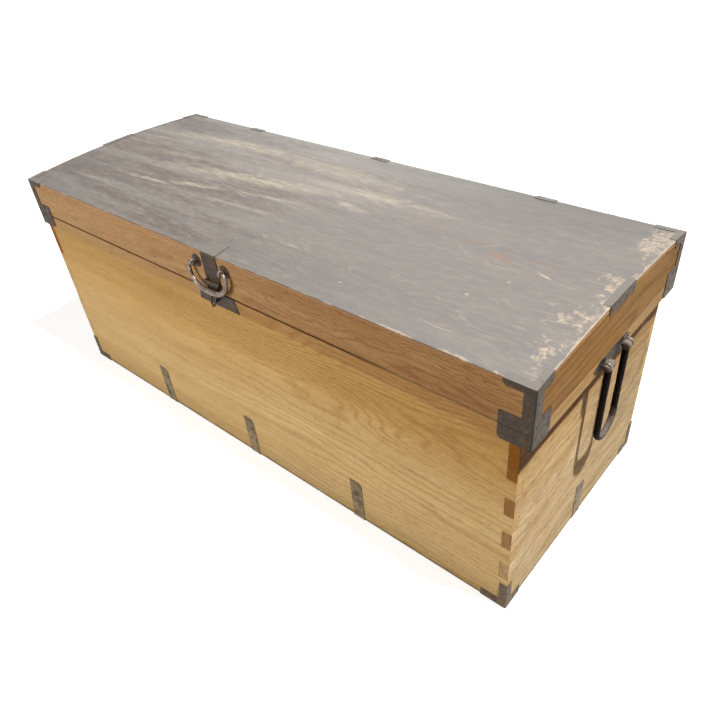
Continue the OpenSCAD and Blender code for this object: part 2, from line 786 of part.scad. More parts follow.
// Solid through a list of rings that have the same number of points
module loft(rings) {
    n = len(rings[0]);
    last = len(rings) - 1;
    points = [for (ring = rings) for (p = ring) p];
    sides = [for (k = [0 : last - 1]) for (i = [0 : n - 1]) let (j = (i + 1) % n)
        each [[k * n + i, k * n + j, (k + 1) * n + j], [k * n + i, (k + 1) * n + j, (k + 1) * n + i]]];
    ends = [[for (i = [n - 1 : -1 : 0]) i], [for (i = [0 : n - 1]) last * n + i]];
    polyhedron(points, concat(sides, ends));
}

// Bail of the lid, hung in its two eyes and leant on the hasp
module front_bail() {
    rings = 48;
    pin_in = rosette_x - ring_wire_r - bail_side_gap;
    pin_out = bail_end_x + bail_arm_r;
    color(iron_dark) translate([0, bail_axis_y, bail_axis_z]) rotate([-bail_lean, 0, 0]) union() {
        loft([for (k = [0 : rings]) bail_ring(2 * k / rings - 1, 14)]);
        for (side = [-1, 1]) {
            translate([side * (pin_in + pin_out) / 2, 0, 0]) rotate([0, 90, 0])
                cylinder(r = bail_pin_r, h = pin_out - pin_in, center = true);
            translate([side * pin_in, 0, 0]) rotate([0, -90 * side, 0])
                cylinder(r = ring_r, h = bail_button_t);
        }
    }
}

module left() { mirror([1, 0, 0]) children(); }
module rear() { mirror([0, 1, 0]) children(); }
module turned() { rotate([0, 0, 180]) children(); }

// Each piece in its place
module front_board() {
    difference() {
        long_board();
        staple_legs(staple_wire_r + shank_play, -half_depth - cut, wall_t - half_depth + cut);
    }
}
module rear_board() { rear() long_board(); }
module left_end_board() { turned() end_board(); }
module right_end_board() { end_board(); }
module left_end_batten() { turned() end_batten(); }
module right_end_batten() { end_batten(); }
module front_left_top_iron() { left() top_iron(); }
module front_right_top_iron() { top_iron(); }
module rear_left_top_iron() { left() rear() top_iron(); }
module rear_right_top_iron() { rear() top_iron(); }
module front_left_base_iron() { left() base_iron(); }
module front_right_base_iron() { base_iron(); }
module rear_left_base_iron() { left() rear() base_iron(); }
module rear_right_base_iron() { rear() base_iron(); }
module front_left_strap() { long_strap(-base_strap_x); }
module front_centre_strap() { long_strap(0); }
module front_right_strap() { long_strap(base_strap_x); }
module rear_left_strap() { rear() long_strap(-base_strap_x); }
module rear_centre_strap() { rear() long_strap(0); }
module rear_right_strap() { rear() long_strap(base_strap_x); }
module left_end_strap() { turned() end_strap(); }
module right_end_strap() { end_strap(); }
module left_hinge_lower_leaf() { translate([-hinge_x, 0, 0]) lower_leaf(); }
module centre_hinge_lower_leaf() { lower_leaf(); }
module right_hinge_lower_leaf() { translate([hinge_x, 0, 0]) lower_leaf(); }
module left_pole_plate() { turned() pole_plate(); }
module right_pole_plate() { pole_plate(); }
module left_pole_eyes() { turned() pole_eyes(); }
module right_pole_eyes() { pole_eyes(); }
module lid_rear_rim() { rear() lid_long_rim(); }
module lid_left_rim() { turned() lid_end_rim(); }
module lid_right_rim() { lid_end_rim(); }
module lid_left_rib() { lid_rib(-rib_x); }
module lid_right_rib() { lid_rib(rib_x); }
module front_left_lid_iron() { left() lid_iron(); }
module front_right_lid_iron() { lid_iron(); }
module rear_left_lid_iron() { left() rear() lid_iron(); }
module rear_right_lid_iron() { rear() lid_iron(); }
module lid_left_strap() { turned() lid_strap(); }
module lid_right_strap() { lid_strap(); }
module left_rosette() { rosette(-rosette_x); }
module right_rosette() { rosette(rosette_x); }
module left_bail_eye() { bail_eye(-rosette_x); }
module right_bail_eye() { bail_eye(rosette_x); }
module left_hinge_upper_leaf() { translate([-hinge_x, 0, 0]) upper_leaf(); }
module centre_hinge_upper_leaf() { upper_leaf(); }
module right_hinge_upper_leaf() { translate([hinge_x, 0, 0]) upper_leaf(); }
module left_pole_bail() { turned() pole_bail(); }
module right_pole_bail() { pole_bail(); }

front_board();
rear_board();
left_end_board();
right_end_board();
bottom_board();
left_end_batten();
right_end_batten();
front_left_top_iron();
front_right_top_iron();
rear_left_top_iron();
rear_right_top_iron();
front_left_base_iron();
front_right_base_iron();
rear_left_base_iron();
rear_right_base_iron();
front_left_strap();
front_centre_strap();
front_right_strap();
rear_left_strap();
rear_centre_strap();
rear_right_strap();
left_end_strap();
right_end_strap();
lock_plate();
lock_staple();
left_hinge_lower_leaf();
centre_hinge_lower_leaf();
right_hinge_lower_leaf();
hinge_pins();
left_pole_plate();
right_pole_plate();
left_pole_eyes();
right_pole_eyes();
lid_front_rim();
lid_rear_rim();
lid_left_rim();
lid_right_rim();
lid_top();
lid_left_rib();
lid_right_rib();
front_left_lid_iron();
front_right_lid_iron();
rear_left_lid_iron();
rear_right_lid_iron();
lid_left_strap();
lid_right_strap();
hasp_strap();
hasp_pin();
left_rosette();
right_rosette();
left_bail_eye();
right_bail_eye();
left_hinge_upper_leaf();
centre_hinge_upper_leaf();
right_hinge_upper_leaf();
front_bail();
hasp_tongue();
left_pole_bail();
right_pole_bail();
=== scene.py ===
"""Looks of a long wooden chest: worn timber, weathered lacquer and forged iron.

Lengths are in metres. X runs along the chest, the front faces -Y, Z is up, and the origin is the
middle of the underside. Textures are built from numbers alone.
"""

import json
import logging
import math
from dataclasses import dataclass, field, replace
from enum import Enum
from functools import reduce
from typing import Any, Callable, Sequence

import bmesh
import bpy
import numpy as np
from mathutils import Matrix, Vector

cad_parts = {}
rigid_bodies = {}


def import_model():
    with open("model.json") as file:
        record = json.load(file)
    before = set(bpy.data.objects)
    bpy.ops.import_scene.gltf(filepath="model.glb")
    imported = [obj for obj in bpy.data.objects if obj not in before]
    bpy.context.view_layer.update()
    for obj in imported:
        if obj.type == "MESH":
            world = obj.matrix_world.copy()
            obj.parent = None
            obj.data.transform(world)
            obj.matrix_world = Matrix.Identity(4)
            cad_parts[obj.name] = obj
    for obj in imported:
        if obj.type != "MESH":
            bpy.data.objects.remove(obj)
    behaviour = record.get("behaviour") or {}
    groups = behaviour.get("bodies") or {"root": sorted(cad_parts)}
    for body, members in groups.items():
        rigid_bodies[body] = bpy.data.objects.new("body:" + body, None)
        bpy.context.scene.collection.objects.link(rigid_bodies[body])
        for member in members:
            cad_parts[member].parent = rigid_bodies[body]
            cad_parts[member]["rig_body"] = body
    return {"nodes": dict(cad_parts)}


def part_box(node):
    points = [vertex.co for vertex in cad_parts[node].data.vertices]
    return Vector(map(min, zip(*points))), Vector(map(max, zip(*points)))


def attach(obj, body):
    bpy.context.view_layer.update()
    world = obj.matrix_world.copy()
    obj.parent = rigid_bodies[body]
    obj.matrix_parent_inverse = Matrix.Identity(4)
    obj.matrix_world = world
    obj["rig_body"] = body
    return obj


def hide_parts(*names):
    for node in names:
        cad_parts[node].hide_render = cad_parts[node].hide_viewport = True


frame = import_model()
LOG = logging.getLogger("chest")
Triple = tuple[float, float, float]


def srgb(red: float, green: float, blue: float) -> Triple:
    """Turns a colour as seen on a screen into a linear one.

    Args:
        red: Red from 0 to 255.
        green: Green from 0 to 255.
        blue: Blue from 0 to 255.

    Returns:
        The linear colour from 0 to 1.
    """
    value = np.array([red, green, blue], float) / 255
    linear = np.where(value <= 0.04045, value / 12.92, ((value + 0.055) / 1.055) ** 2.4)
    return tuple(float(v) for v in linear)


@dataclass(frozen=True)
class ChestSizes:
    """Sizes and places that several pieces share, as the solids have them."""

    half_box: float = 0.7395
    half_lid: float = 0.7575
    half_depth: float = 0.288
    seam: float = 0.491
    edge: float = 0.585
    crown: float = 0.014
    panel: float = 0.008
    sheet: float = 0.0015
    tongue_foot: float = 0.350
    # where the batten's painted shadow on the end board ends
    batten_shadow_foot: float = 0.402
    band_foot: float = 0.4545
    band_top: float = 0.4600
    strap_x: float = 0.355
    hinge_x: float = 0.463
    pole_x: float = 0.7688
    pole_z: float = 0.475
    pole_bend_z: float = 0.312
    pole_half_gap: float = 0.035

    @property
    def arch_radius(self) -> float:
        """Radius of the circle that the lid's top follows."""
        return (self.half_depth**2 + self.crown**2) / (2 * self.crown)

    def arch(self, y: Any, drop: float = 0.0) -> np.ndarray:
        """Height of a circle below the lid's top at a depth.

        The height is that of the circle's middle plus the root of its squared radius less the
        squared depth.

        Args:
            y: Depths from the middle of the chest.
            drop: How far the circle lies under the top.

        Returns:
            The heights above the floor.
        """
        middle = self.edge + self.crown - self.arch_radius
        return middle + np.sqrt((self.arch_radius - drop) ** 2 - np.asarray(y) ** 2)


SIZES = ChestSizes()


class Axis(Enum):
    """Direction along which a board's fibres run."""

    LENGTH = 0
    DEPTH = 1


# ---- shader trees -------------------------------------------------------------------------


class Value:
    """What a node puts out; sums and products of it add Math nodes."""

    def __init__(self, graph: "Graph", socket: bpy.types.NodeSocket) -> None:
        """Keeps the socket and its graph."""
        self.graph, self.socket = graph, socket

    def __add__(self, other: Any) -> "Value":
        """Gives the sum with a value or number."""
        return self.graph.maths("ADD", self, other)

    def __sub__(self, other: Any) -> "Value":
        """Gives the difference from a value or number."""
        return self.graph.maths("SUBTRACT", self, other)

    def __rsub__(self, other: float) -> "Value":
        """Gives a number less this value."""
        return self.graph.maths("SUBTRACT", other, self)

    def __mul__(self, other: Any) -> "Value":
        """Gives the product with a value or number."""
        return self.graph.maths("MULTIPLY", self, other)

    def __truediv__(self, other: Any) -> "Value":
        """Gives the quotient by a value or number."""
        return self.graph.maths("DIVIDE", self, other)

    def __abs__(self) -> "Value":
        """Gives the value without its sign."""
        return self.graph.maths("ABSOLUTE", self)


class Graph:
    """Short names for adding and joining the nodes of one shader tree."""

    def __init__(self, tree: bpy.types.NodeTree) -> None:
        """Keeps the tree that the nodes go into."""
        self.tree = tree

    def add(self, kind: str, inputs: dict[Any, Any] | None = None, **settings: Any) -> bpy.types.Node:
        """Adds a node.

        Args:
            kind: The node's type name without its ShaderNode prefix.
            inputs: Values or sockets for its inputs, by name or number.
            **settings: Properties of the node.

        Returns:
            The new node.
        """
        node = self.tree.nodes.new(kind if kind.startswith("Node") else "ShaderNode" + kind)
        for name, value in settings.items():
            setattr(node, name, value)
        for name, value in (inputs or {}).items():
            self.put(node.inputs[name], value)
        return node

    def put(self, target: bpy.types.NodeSocket, value: Any) -> None:
        """Joins a value to an input, or sets the input to a number or colour.

        Args:
            target: The input.
            value: What it gets.
        """
        if isinstance(value, Value):
            self.tree.links.new(value.socket, target)
        elif isinstance(value, tuple) and len(value) == 3 and len(getattr(target, "default_value", ())) == 4:
            target.default_value = (*value, 1.0)
        else:
            target.default_value = value

    def out(self, kind: str, inputs: dict[Any, Any], output: Any = 0, **settings: Any) -> Value:
        """Adds a node as add does and gives one of its outputs."""
        return Value(self, self.add(kind, inputs, **settings).outputs[output])

    def maths(self, operation: str, *values: Any, clamp: bool = False) -> Value:
        """Adds a Math node on one to three values."""
        return self.out("Math", dict(enumerate(values)), operation=operation, use_clamp=clamp)

    def vector(self, operation: str, *values: Any) -> Value:
        """Adds a Vector Math node that gives a vector."""
        return self.out("VectorMath", dict(enumerate(values)), operation=operation)

    def length(self, vector: Value) -> Value:
        """Gives the length of a vector."""
        return self.out("VectorMath", {0: vector}, "Value", operation="LENGTH")

    def fit(self, value: Value, factor: float, offset: float = 0.0) -> Value:
        """Gives the value times the factor plus the offset, held between 0 and 1."""
        return self.maths("MULTIPLY_ADD", value, factor, offset, clamp=True)

    def most(self, *values: Any) -> Value:
        """Gives the greatest of several values."""
        return reduce(lambda first, second: self.maths("MAXIMUM", first, second), values)

    def step(self, value: Any, low: Any, high: Any) -> Value:
        """Gives 0 below low and 1 above high, with a smooth rise between; low may be the larger."""
        return self.out("MapRange", {0: value, 1: low, 2: high}, interpolation_type="SMOOTHSTEP")

    def mix(self, share: Any, first: Any, second: Any, blend: str = "MIX") -> Value:
        """Mixes two colours by a share."""
        return self.out("Mix", {0: share, 6: first, 7: second}, 2, data_type="RGBA", blend_type=blend,
                        clamp_factor=True)

    def tint(self, share: Any, colour: Any, factor: Any) -> Value:
        """Multiplies a colour by another, as far as the share says."""
        return self.mix(share, colour, factor, "MULTIPLY")

    def placed(self, vector: Value, scale: Triple, shift: Triple = (0, 0, 0), turn: float = 0.0) -> Value:
        """Scales, shifts and turns a pattern's coordinates about Z."""
        return self.out("Mapping", {"Vector": vector, "Location": shift, "Rotation": (0, 0, turn),
                                    "Scale": scale})

    def noise(self, vector: Value, scale: float, detail: float, rough: float, bend: float = 0.0) -> Value:
        """Adds a noise pattern and gives its value from 0 to 1."""
        return self.out("TexNoise", {"Vector": vector, "Scale": scale, "Detail": detail,
                                     "Roughness": rough, "Distortion": bend})

    def drawn(self, vector: Value, scale: Triple, detail: float, rough: float, bend: float = 0.0,
              shift: Triple = (0, 0, 0), turn: float = 0.0) -> Value:
        """Adds a noise pattern with a scale of its own along each axis."""
        return self.noise(self.placed(vector, scale, shift, turn), 1.0, detail, rough, bend)

    def parts(self, vector: Value) -> list[Value]:
        """Splits a vector into its three numbers."""
        return [Value(self, socket) for socket in self.add("SeparateXYZ", {0: vector}).outputs]


class Surface(Graph):
    """Graph of a new material, with the coordinates of the piece that wears it."""

    def __init__(self, name: str) -> None:
        """Makes the material, still empty.

        Args:
            name: The material's name.
        """
        self.material = bpy.data.materials.new(name)
        self.material.use_nodes = True
        self.material.node_tree.nodes.clear()
        super().__init__(self.material.node_tree)
        self.own = self.out("TexCoord", {}, "Object")
        self.xyz = self.parts(self.own)

    def close(self, colour: Value, rough: Any, height: Value, depth: float, metal: Any = 0.0,
              specular: float = 0.5) -> bpy.types.Material:
        """Ends the material in one Principled surface with a bump.

        Args:
            colour: Base colour.
            rough: Roughness.
            height: Height of the relief from 0 to 1.
            depth: Depth of the relief.
            metal: Share of bare metal.
            specular: Strength of the plain gloss.

        Returns:
            The material.
        """
        bump = self.out("Bump", {"Strength": 1.0, "Distance": depth, "Height": height})
        surface = self.out("BsdfPrincipled", {"Base Color": colour, "Roughness": rough, "Metallic": metal,
                                              "Normal": bump, "Specular IOR Level": specular})
        self.add("OutputMaterial", {"Surface": surface})
        return self.material


@dataclass(frozen=True)
class Effect:
    """A shader effect that is made once, as a node group, and put into many materials."""

    name: str
    inputs: dict[str, Any]
    build: Callable[..., dict[str, Value]]

    def tree(self) -> bpy.types.NodeTree:
        """Gives the node group, and makes it at its first use.

        Returns:
            The group.
        """
        found = bpy.data.node_groups.get(self.name)
        if found:
            return found
        tree = bpy.data.node_groups.new(self.name, "ShaderNodeTree")
        graph = Graph(tree)
        for label, value in {"vector": None, **self.inputs}.items():
            kind = "NodeSocketFloat" if isinstance(value, float) else "NodeSocketVector"
            socket = tree.interface.new_socket(label, in_out="INPUT", socket_type=kind)
            if value is not None:
                socket.default_value = value
        given = graph.add("NodeGroupInput").outputs
        made = self.build(graph, **{label: Value(graph, given[label]) for label in ("vector", *self.inputs)})
        for label in made:
            tree.interface.new_socket(label, in_out="OUTPUT", socket_type="NodeSocketFloat")
        graph.add("NodeGroupOutput", made)
        return tree

    def __call__(self, graph: Graph, vector: Value, **inputs: Any) -> dict[str, Value]:
        """Puts the effect into a material.

        Args:
            graph: The material's graph.
            vector: The coordinates that the effect follows.
            **inputs: Values for its other inputs.

        Returns:
            Its outputs by name.
        """
        node = graph.add("Group", {"vector": vector, **inputs}, node_tree=self.tree())
        return {socket.name: Value(graph, socket) for socket in node.outputs}


def effect(name: str, **inputs: Any) -> Callable[[Callable[..., dict[str, Value]]], Effect]:
    """Turns the function below it into an effect with this name and these inputs' defaults."""
    return lambda build: Effect(name, inputs, build)


@effect("timber grain", shift=(0, 0, 0), ring_gap=0.012, wander=0.12, curl=0.02)
def timber_grain(g: Graph, vector: Value, shift: Value, ring_gap: Value, wander: Value,
                 curl: Value) -> dict[str, Value]:
    """Grain of a plain-sawn board whose fibres run along the first coordinate.

    The year rings are the sine of the distance from a far pith line, which slow noise bends and
    crowds, so a face cuts them into nested arches. Fibres, pores and the short dark flecks are noise
    drawn out along the board.

    Args:
        g: The group's graph.
        vector: Coordinates along, across and through the board.
        shift: Place of the board in its log.
        ring_gap: Mean distance between year rings.
        wander: How far slow noise bends the rings.
        curl: How far quick noise bends them.

    Returns:
        Masks and height by name.
    """
    start = g.vector("ADD", vector, shift)
    _, y, z = g.parts(start)
    swing = (g.drawn(start, (1.1, 5.0, 5.0), 2.0, 0.5) - 0.5) * wander
    ripple = (g.drawn(start, (7.0, 22.0, 22.0), 3.0, 0.6) - 0.5) * curl
    across = z + (swing + ripple)
    deep = y + swing * 0.7
    ring = g.maths("SQRT", across * across + deep * deep)
    crowd = g.drawn(start, (0.4, 13.0, 13.0), 2.0, 0.6)
    turns = ring / ring_gap * (2 * math.pi) + crowd * 16.0
    late = g.maths("POWER", g.maths("SINE", turns) * 0.5 + 0.5, 3.4)
    fibre = g.drawn(start, (10.0, 215.0, 215.0), 4.0, 0.68)
    pores = g.step(g.drawn(start, (42.0, 900.0, 900.0), 2.0, 0.6), 0.60, 0.74)
    return {"late": late, "fibre": fibre, "pores": pores,
            "broad": g.drawn(start, (1.7, 26.0, 26.0), 4.0, 0.6, 0.3),
            "flecks": g.step(g.drawn(start, (62.0, 420.0, 420.0), 2.0, 0.5), 0.56, 0.70),
            "height": fibre * 0.6 - (pores * 0.5 + late * -0.25)}


@effect("worn corners", centre=(0, 0, 0), half_size=(1, 1, 1), width=0.003)
def worn_corners(g: Graph, vector: Value, centre: Value, half_size: Value, width: Value) -> dict[str, Value]:
    """Mask along the corners of a box.

    On a face one distance to the box's sides is nought, so the middle one of the three distances
    is how far the nearest corner is.

    Args:
        g: The group's graph.
        vector: Coordinates on the box.
        centre: The box's middle.
        half_size: Its half lengths.
        width: Mean width of the wear.

    Returns:
        The mask.
    """
    away = g.vector("ABSOLUTE", g.vector("SUBTRACT", vector, centre))
    a, b, c = g.parts(g.vector("SUBTRACT", half_size, away))
    near = g.most(g.maths("MINIMUM", a, b), g.maths("MINIMUM", g.most(a, b), c))
    reach = width * (g.noise(vector, 55.0, 4.0, 0.7) * 2.4 - 0.55)
    return {"mask": g.step(near, reach + 0.0004, reach * 0.3)}


@effect("grime and scratches")
def grime_marks(g: Graph, vector: Value) -> dict[str, Value]:
    """Handling marks: broad clouds of dirt, small specks and thin scratches.

    A scratch is where stretched noise crosses its middle value, kept only inside scattered patches.

    Args:
        g: The group's graph.
        vector: Coordinates on the piece.

    Returns:
        Masks by name.
    """
    lines = []
    for turn, scale in ((0.35, (3.0, 46.0, 46.0)), (-0.9, (4.0, 60.0, 60.0)), (1.4, (5.0, 70.0, 70.0))):
        level = g.drawn(vector, scale, 1.0, 0.4, 0.3, (3.7 * turn, 1.3, 0.4), turn)
        thin = g.step(abs(level - 0.5), 0.012, 0.002)
        lines.append(thin * g.step(g.noise(vector, 9.0 + 4 * turn, 1.0, 0.5), 0.58, 0.68))
    return {"cloud": g.step(g.noise(vector, 5.5, 5.0, 0.62, 0.4), 0.42, 0.78),
            "specks": g.step(g.noise(vector, 150.0, 2.0, 0.6), 0.70, 0.79),
            "scratches": g.most(*lines)}


@effect("worn streak", middle=(0, 0, 0), half_length=0.1, half_width=0.01, slope=0.0, bow=0.0)
def worn_streak(g: Graph, vector: Value, middle: Value, half_length: Value, half_width: Value,
                slope: Value, bow: Value) -> dict[str, Value]:
    """Mask of one long worn mark: an ellipse that leans, bows and frays.

    Across the mark counts the distance to a line through its middle that rises by the slope and
    by the bow times the square of the place along it. Noise drawn out along the mark frays it.

    Args:
        g: The group's graph.
        vector: Coordinates on the lid.
        middle: The mark's middle.
        half_length: Half its length.
        half_width: Half its width.
        slope: Rise of its line.
        bow: Bend of its line.

    Returns:
        The mask.
    """
    x, y, _ = g.parts(g.vector("SUBTRACT", vector, middle))
    along = x / half_length
    across = (y - (along * along * bow + x * slope)) / half_width
    reach = g.maths("SQRT", along * along + across * across)
    fray = g.drawn(vector, (26.0, 120.0, 1.0), 5.0, 0.72)
    return {"mask": g.step(reach + (fray * 2.8 - 1.4), 1.25, 0.15)}


@effect("forged skin", shift=(0, 0, 0))
def forged_skin(g: Graph, vector: Value, shift: Value) -> dict[str, Value]:
    """Skin of hand-worked iron: brown bloom, rubbed spots and shallow hammer pits.

    Pits are smooth cells, each dished towards its middle, with fine scale on them.

    Args:
        g: The group's graph.
        vector: Coordinates on the piece.
        shift: Shift of the pattern.

    Returns:
        Masks and height by name.
    """
    v = g.vector("ADD", vector, shift)
    cells = g.out("TexVoronoi", {"Vector": v, "Scale": 120.0, "Smoothness": 0.8}, "Distance",
                  feature="SMOOTH_F1")
    return {"bloom": g.step(g.noise(v, 38.0, 5.0, 0.65, 0.6), 0.44, 0.72),
            "rub": g.step(g.noise(v, 75.0, 4.0, 0.7), 0.50, 0.74),
            "height": cells * 0.7 + g.noise(v, 420.0, 3.0, 0.7) * 0.35}


# ---- finishes -----------------------------------------------------------------------------


@dataclass(frozen=True)
class Wear:
    """Where one board shows its use and where shade and light are painted on it, each from 0 for nowhere to 1,
    and the place of its ends.
    """

    end_at: float = 0.0
    low_ends: float = 0.9
    # darker towards the bottom
    foot: float = 0.0
    # painted shade, darker towards the rear
    rear_shade: float = 0.0
    # painted shadow that the batten casts on the end board
    batten_shadow: float = 0.0
    # painted shade under the lid's lip and painted light from the floor towards the foot
    fade: float = 0.0
    redden: float = 0.0
    # painted shade along the lid's seam
    seam: float = 0.0
    band: float = 0.0


@dataclass(frozen=True)
class TimberFinish:
    """Colours and grain of one kind of board."""

    name: str
    light: Triple
    dark: Triple
    late: Triple
    end_grain: Triple = srgb(126, 81, 30)
    worn: Triple = srgb(206, 176, 128)
    stain: Triple = srgb(104, 68, 38)
    foot_tone: Triple = srgb(88, 66, 46)
    # colour of the painted shade in the seam
    joint: Triple = srgb(46, 14, 5)
    # tint of the painted light from the floor
    floor_light_tint: Triple = (1.20, 1.42, 1.95)
    handled: Triple = (0.76, 0.68, 0.58)
    along: Axis = Axis.LENGTH
    ring_gap: float = 0.013
    wander: float = 0.14
    curl: float = 0.022
    figure: float = 0.25
    flecked: float = 0.34
    pored: float = 0.42
    calm: float = 0.0
    fibred: float = 1.0
    pith: Triple = (0.0, 0.12, -0.2)
    rough: float = 0.46

    def grained(self, g: Surface) -> tuple[Value, dict[str, Value]]:
        """Mixes the colours of the bare grain and gives them with the grain's masks.

        Args:
            g: The material's graph.

        Returns:
            The colour and the grain's masks.
        """
        turn = 0.0 if self.along is Axis.LENGTH else math.pi / 2
        grain = timber_grain(g, g.placed(g.own, (1, 1, 1), (0, 0, 0), turn), shift=self.pith,
                             curl=self.curl, ring_gap=self.ring_gap, wander=self.wander)
        colour = g.mix(g.fit(grain["broad"], 2.2, -0.6), self.dark, self.light)
        lively: Any = g.step(g.xyz[0], 0.35, -0.40) * -self.calm + 1.0 if self.calm else 1.0
        colour = g.mix(grain["late"] * lively * self.figure, colour, self.late)
        colour = g.tint(g.fit(grain["fibre"], 2.5, -0.98) * lively * self.fibred, colour, (0.74, 0.67, 0.57))
        colour = g.mix(grain["pores"] * self.pored, colour, self.stain)
        return g.mix(grain["flecks"] * lively * self.flecked, colour, self.stain), grain

    def weathered(self, g: Surface, colour: Value, wear: Wear) -> Value:
        """Adds broad changes of tone, mostly painted shade and light: shade at the top under the lid's lip,
        light from the floor towards the foot, the batten's shadow, shade towards the rear, rims darker to the
        right and a band below the seam.

        Args:
            g: The material's graph.
            colour: Colour so far.
            wear: Where the board shows its use.

        Returns:
            The colour.
        """
        x, y, z = g.xyz
        if wear.fade:
            # Painted shade at the top of the board under the lid's lip, and painted light from the floor, paler
            # towards the foot.
            crown = g.step(z, 0.33, 0.43) * (g.step(x, 0.25, -0.10) * 0.5 + 0.5)
            floor_lit = g.step(z, 0.43, 0.18) * (g.step(x, -0.1, 0.3) * 0.75 + 0.95)
            colour = g.tint(crown, colour, (0.84, 0.84, 0.87))
            colour = g.tint(g.fit(floor_lit, wear.fade), colour, self.floor_light_tint)
        if wear.batten_shadow:
            # Painted shadow that the batten casts on the end board below it.
            under = g.step(z, SIZES.batten_shadow_foot - 0.008, SIZES.batten_shadow_foot)
            colour = g.tint(under * wear.batten_shadow, colour, (0.56, 0.38, 0.24))
        if wear.rear_shade:
            # Painted shade: darker towards the rear, above the foot.
            rear = g.step(y, -0.12, 0.26) * g.step(z, 0.04, 0.20)
            colour = g.tint(rear * wear.rear_shade, colour, (0.66, 0.64, 0.62))
        if wear.redden:
            colour = g.tint(g.step(x, -0.35, 0.65) * wear.redden, colour, self.handled)
        if wear.band:
            tone = g.mix(g.step(x, -0.55, 0.35), (0.88, 0.89, 1.12), (0.82, 0.76, 0.84))
            colour = g.tint(g.step(z, SIZES.band_foot, SIZES.band_top) * wear.band, colour, tone)
        return colour

    def material(self, low: Vector, high: Vector, wear: Wear) -> bpy.types.Material:
        """Makes the finish for one board.

        Args:
            low: The board's lowest corner.
            high: The board's highest corner.
            wear: Where the board shows its use.

        Returns:
            The material.
        """
        g = Surface(self.name)
        z = g.xyz[2]
        colour, grain = self.grained(g)
        colour = self.weathered(g, colour, wear)
        grime = grime_marks(g, g.own)
        colour = g.tint(grime["cloud"] * 0.22, colour, self.handled)
        colour = g.mix(grime["scratches"] * 0.14, colour, self.worn)
        colour = g.mix(grime["specks"] * 0.20, colour, self.stain)
        if wear.foot:
            # Darker towards the bottom, and darker still in a thin ragged strip along the foot.
            rise = g.noise(g.own, 16.0, 4.0, 0.6) * 0.022 + 0.002
            colour = g.tint(g.step(z, 0.085, 0.0) * wear.foot, colour, (0.72, 0.68, 0.62))
            colour = g.mix(g.step(z, rise, rise * 0.2) * wear.foot, colour, self.foot_tone)
        worn = worn_corners(g, g.own, centre=tuple((low + high) / 2), half_size=tuple((high - low) / 2),
                            width=0.0022)
        colour = g.mix(worn["mask"] * 0.5, colour, self.worn)
        if wear.end_at:
            colour = g.mix(self.cut_across(g, wear), colour, self.end_tone(g))
        if wear.seam:
            # Painted shade in the seam between the lid and the box.
            colour = g.mix(self.seam_shade_line(g) * wear.seam, colour, self.joint)
        return g.close(colour, grain["fibre"] * 0.22 + self.rough, grain["height"], 0.0007, specular=0.025)

    def cut_across(self, g: Surface, wear: Wear) -> Value:
        """Masks the ends of the board, more faintly below the tall tongue.

        Args:
            g: The material's graph.
            wear: Where the board shows its use.

        Returns:
            The mask.
        """
        x, y, z = g.xyz
        reach = abs(x if self.along is Axis.LENGTH else y)
        low = (g.step(z, 0.05, 0.28) * 0.5 + 0.5) * wear.low_ends
        tall = g.step(z, SIZES.tongue_foot - 0.01, SIZES.tongue_foot + 0.01)
        kept = low + tall * (0.92 - low)
        return g.step(reach, wear.end_at - 0.0009, wear.end_at - 0.0004) * kept

    def end_tone(self, g: Surface) -> Value:
        """Mixes the speckled colour of end grain."""
        speckle = g.fit(g.noise(g.own, 260.0, 3.0, 0.7), 2.4, -0.7)
        return g.tint(1.0, self.end_grain, g.mix(speckle, (0.66, 0.60, 0.52), (1.35, 1.35, 1.3)))

    @staticmethod
    def seam_shade_line(g: Surface) -> Value:
        """Masks the painted shade in the seam where the lid meets the box, strongest left of the right end.

        Args:
            g: The material's graph.

        Returns:
            The mask.
        """
        x, _, z = g.xyz
        reach = g.drawn(g.own, (7.0, 7.0, 0.0), 3.0, 0.6) * 0.0018 + 0.0016
        line = g.step(abs(z - SIZES.seam), reach + 0.0007, reach * 0.8)
        return line * (g.step(x, 0.52, 0.36) * 0.45 + 0.55)


FRONT_TIMBER = TimberFinish("honey_board", srgb(206, 169, 108), srgb(189, 150, 92), srgb(164, 121, 66),
                            end_grain=srgb(204, 172, 126), pith=(0.3, 0.335, -0.27), ring_gap=0.0150,
                            wander=0.34, figure=0.48, flecked=0.34, calm=0.84, fibred=0.46)
END_TIMBER = TimberFinish("pale_end_board", srgb(223, 193, 142), srgb(199, 164, 110), srgb(160, 119, 66),
                          along=Axis.DEPTH, pith=(0.1, 0.80, -0.30), ring_gap=0.013, wander=0.36,
                          figure=0.38, flecked=0.62, pored=0.6)
FLOOR_TIMBER = TimberFinish("plain_bottom_board", srgb(190, 156, 108), srgb(168, 132, 86),
                            srgb(140, 102, 60), pith=(0.0, 0.25, 0.2), ring_gap=0.014)
RIM_TIMBER = TimberFinish("orange_rim_board", srgb(189, 156, 116), srgb(167, 131, 92), srgb(124, 84, 48),
                          pith=(-0.2, 0.33, -0.50), ring_gap=0.0055, wander=0.12, curl=0.05, figure=0.42,
                          calm=0.55)
END_RIM_TIMBER = TimberFinish("brown_end_rim", srgb(163, 127, 76), srgb(142, 106, 58), srgb(97, 62, 30),
                              along=Axis.DEPTH, pith=(0.2, 0.80, -0.50), ring_gap=0.0105, wander=0.20,
                              curl=0.07, figure=0.42, flecked=0.6, worn=srgb(186, 150, 98))
BATTEN_TIMBER = TimberFinish("batten_board", srgb(200, 168, 120), srgb(182, 148, 102), srgb(146, 108, 66),
                             along=Axis.DEPTH, pith=(0.2, 0.80, -0.40), ring_gap=0.0085, wander=0.16,
                             figure=0.3)


@dataclass(frozen=True)
class Mark:
    """One worn mark on the lid's top: its middle, half sizes, lean, strength and bow."""

    x: float
    y: float
    half_length: float
    half_width: float
    slope: float = 0.0
    strength: float = 1.0
    bow: float = 0.0


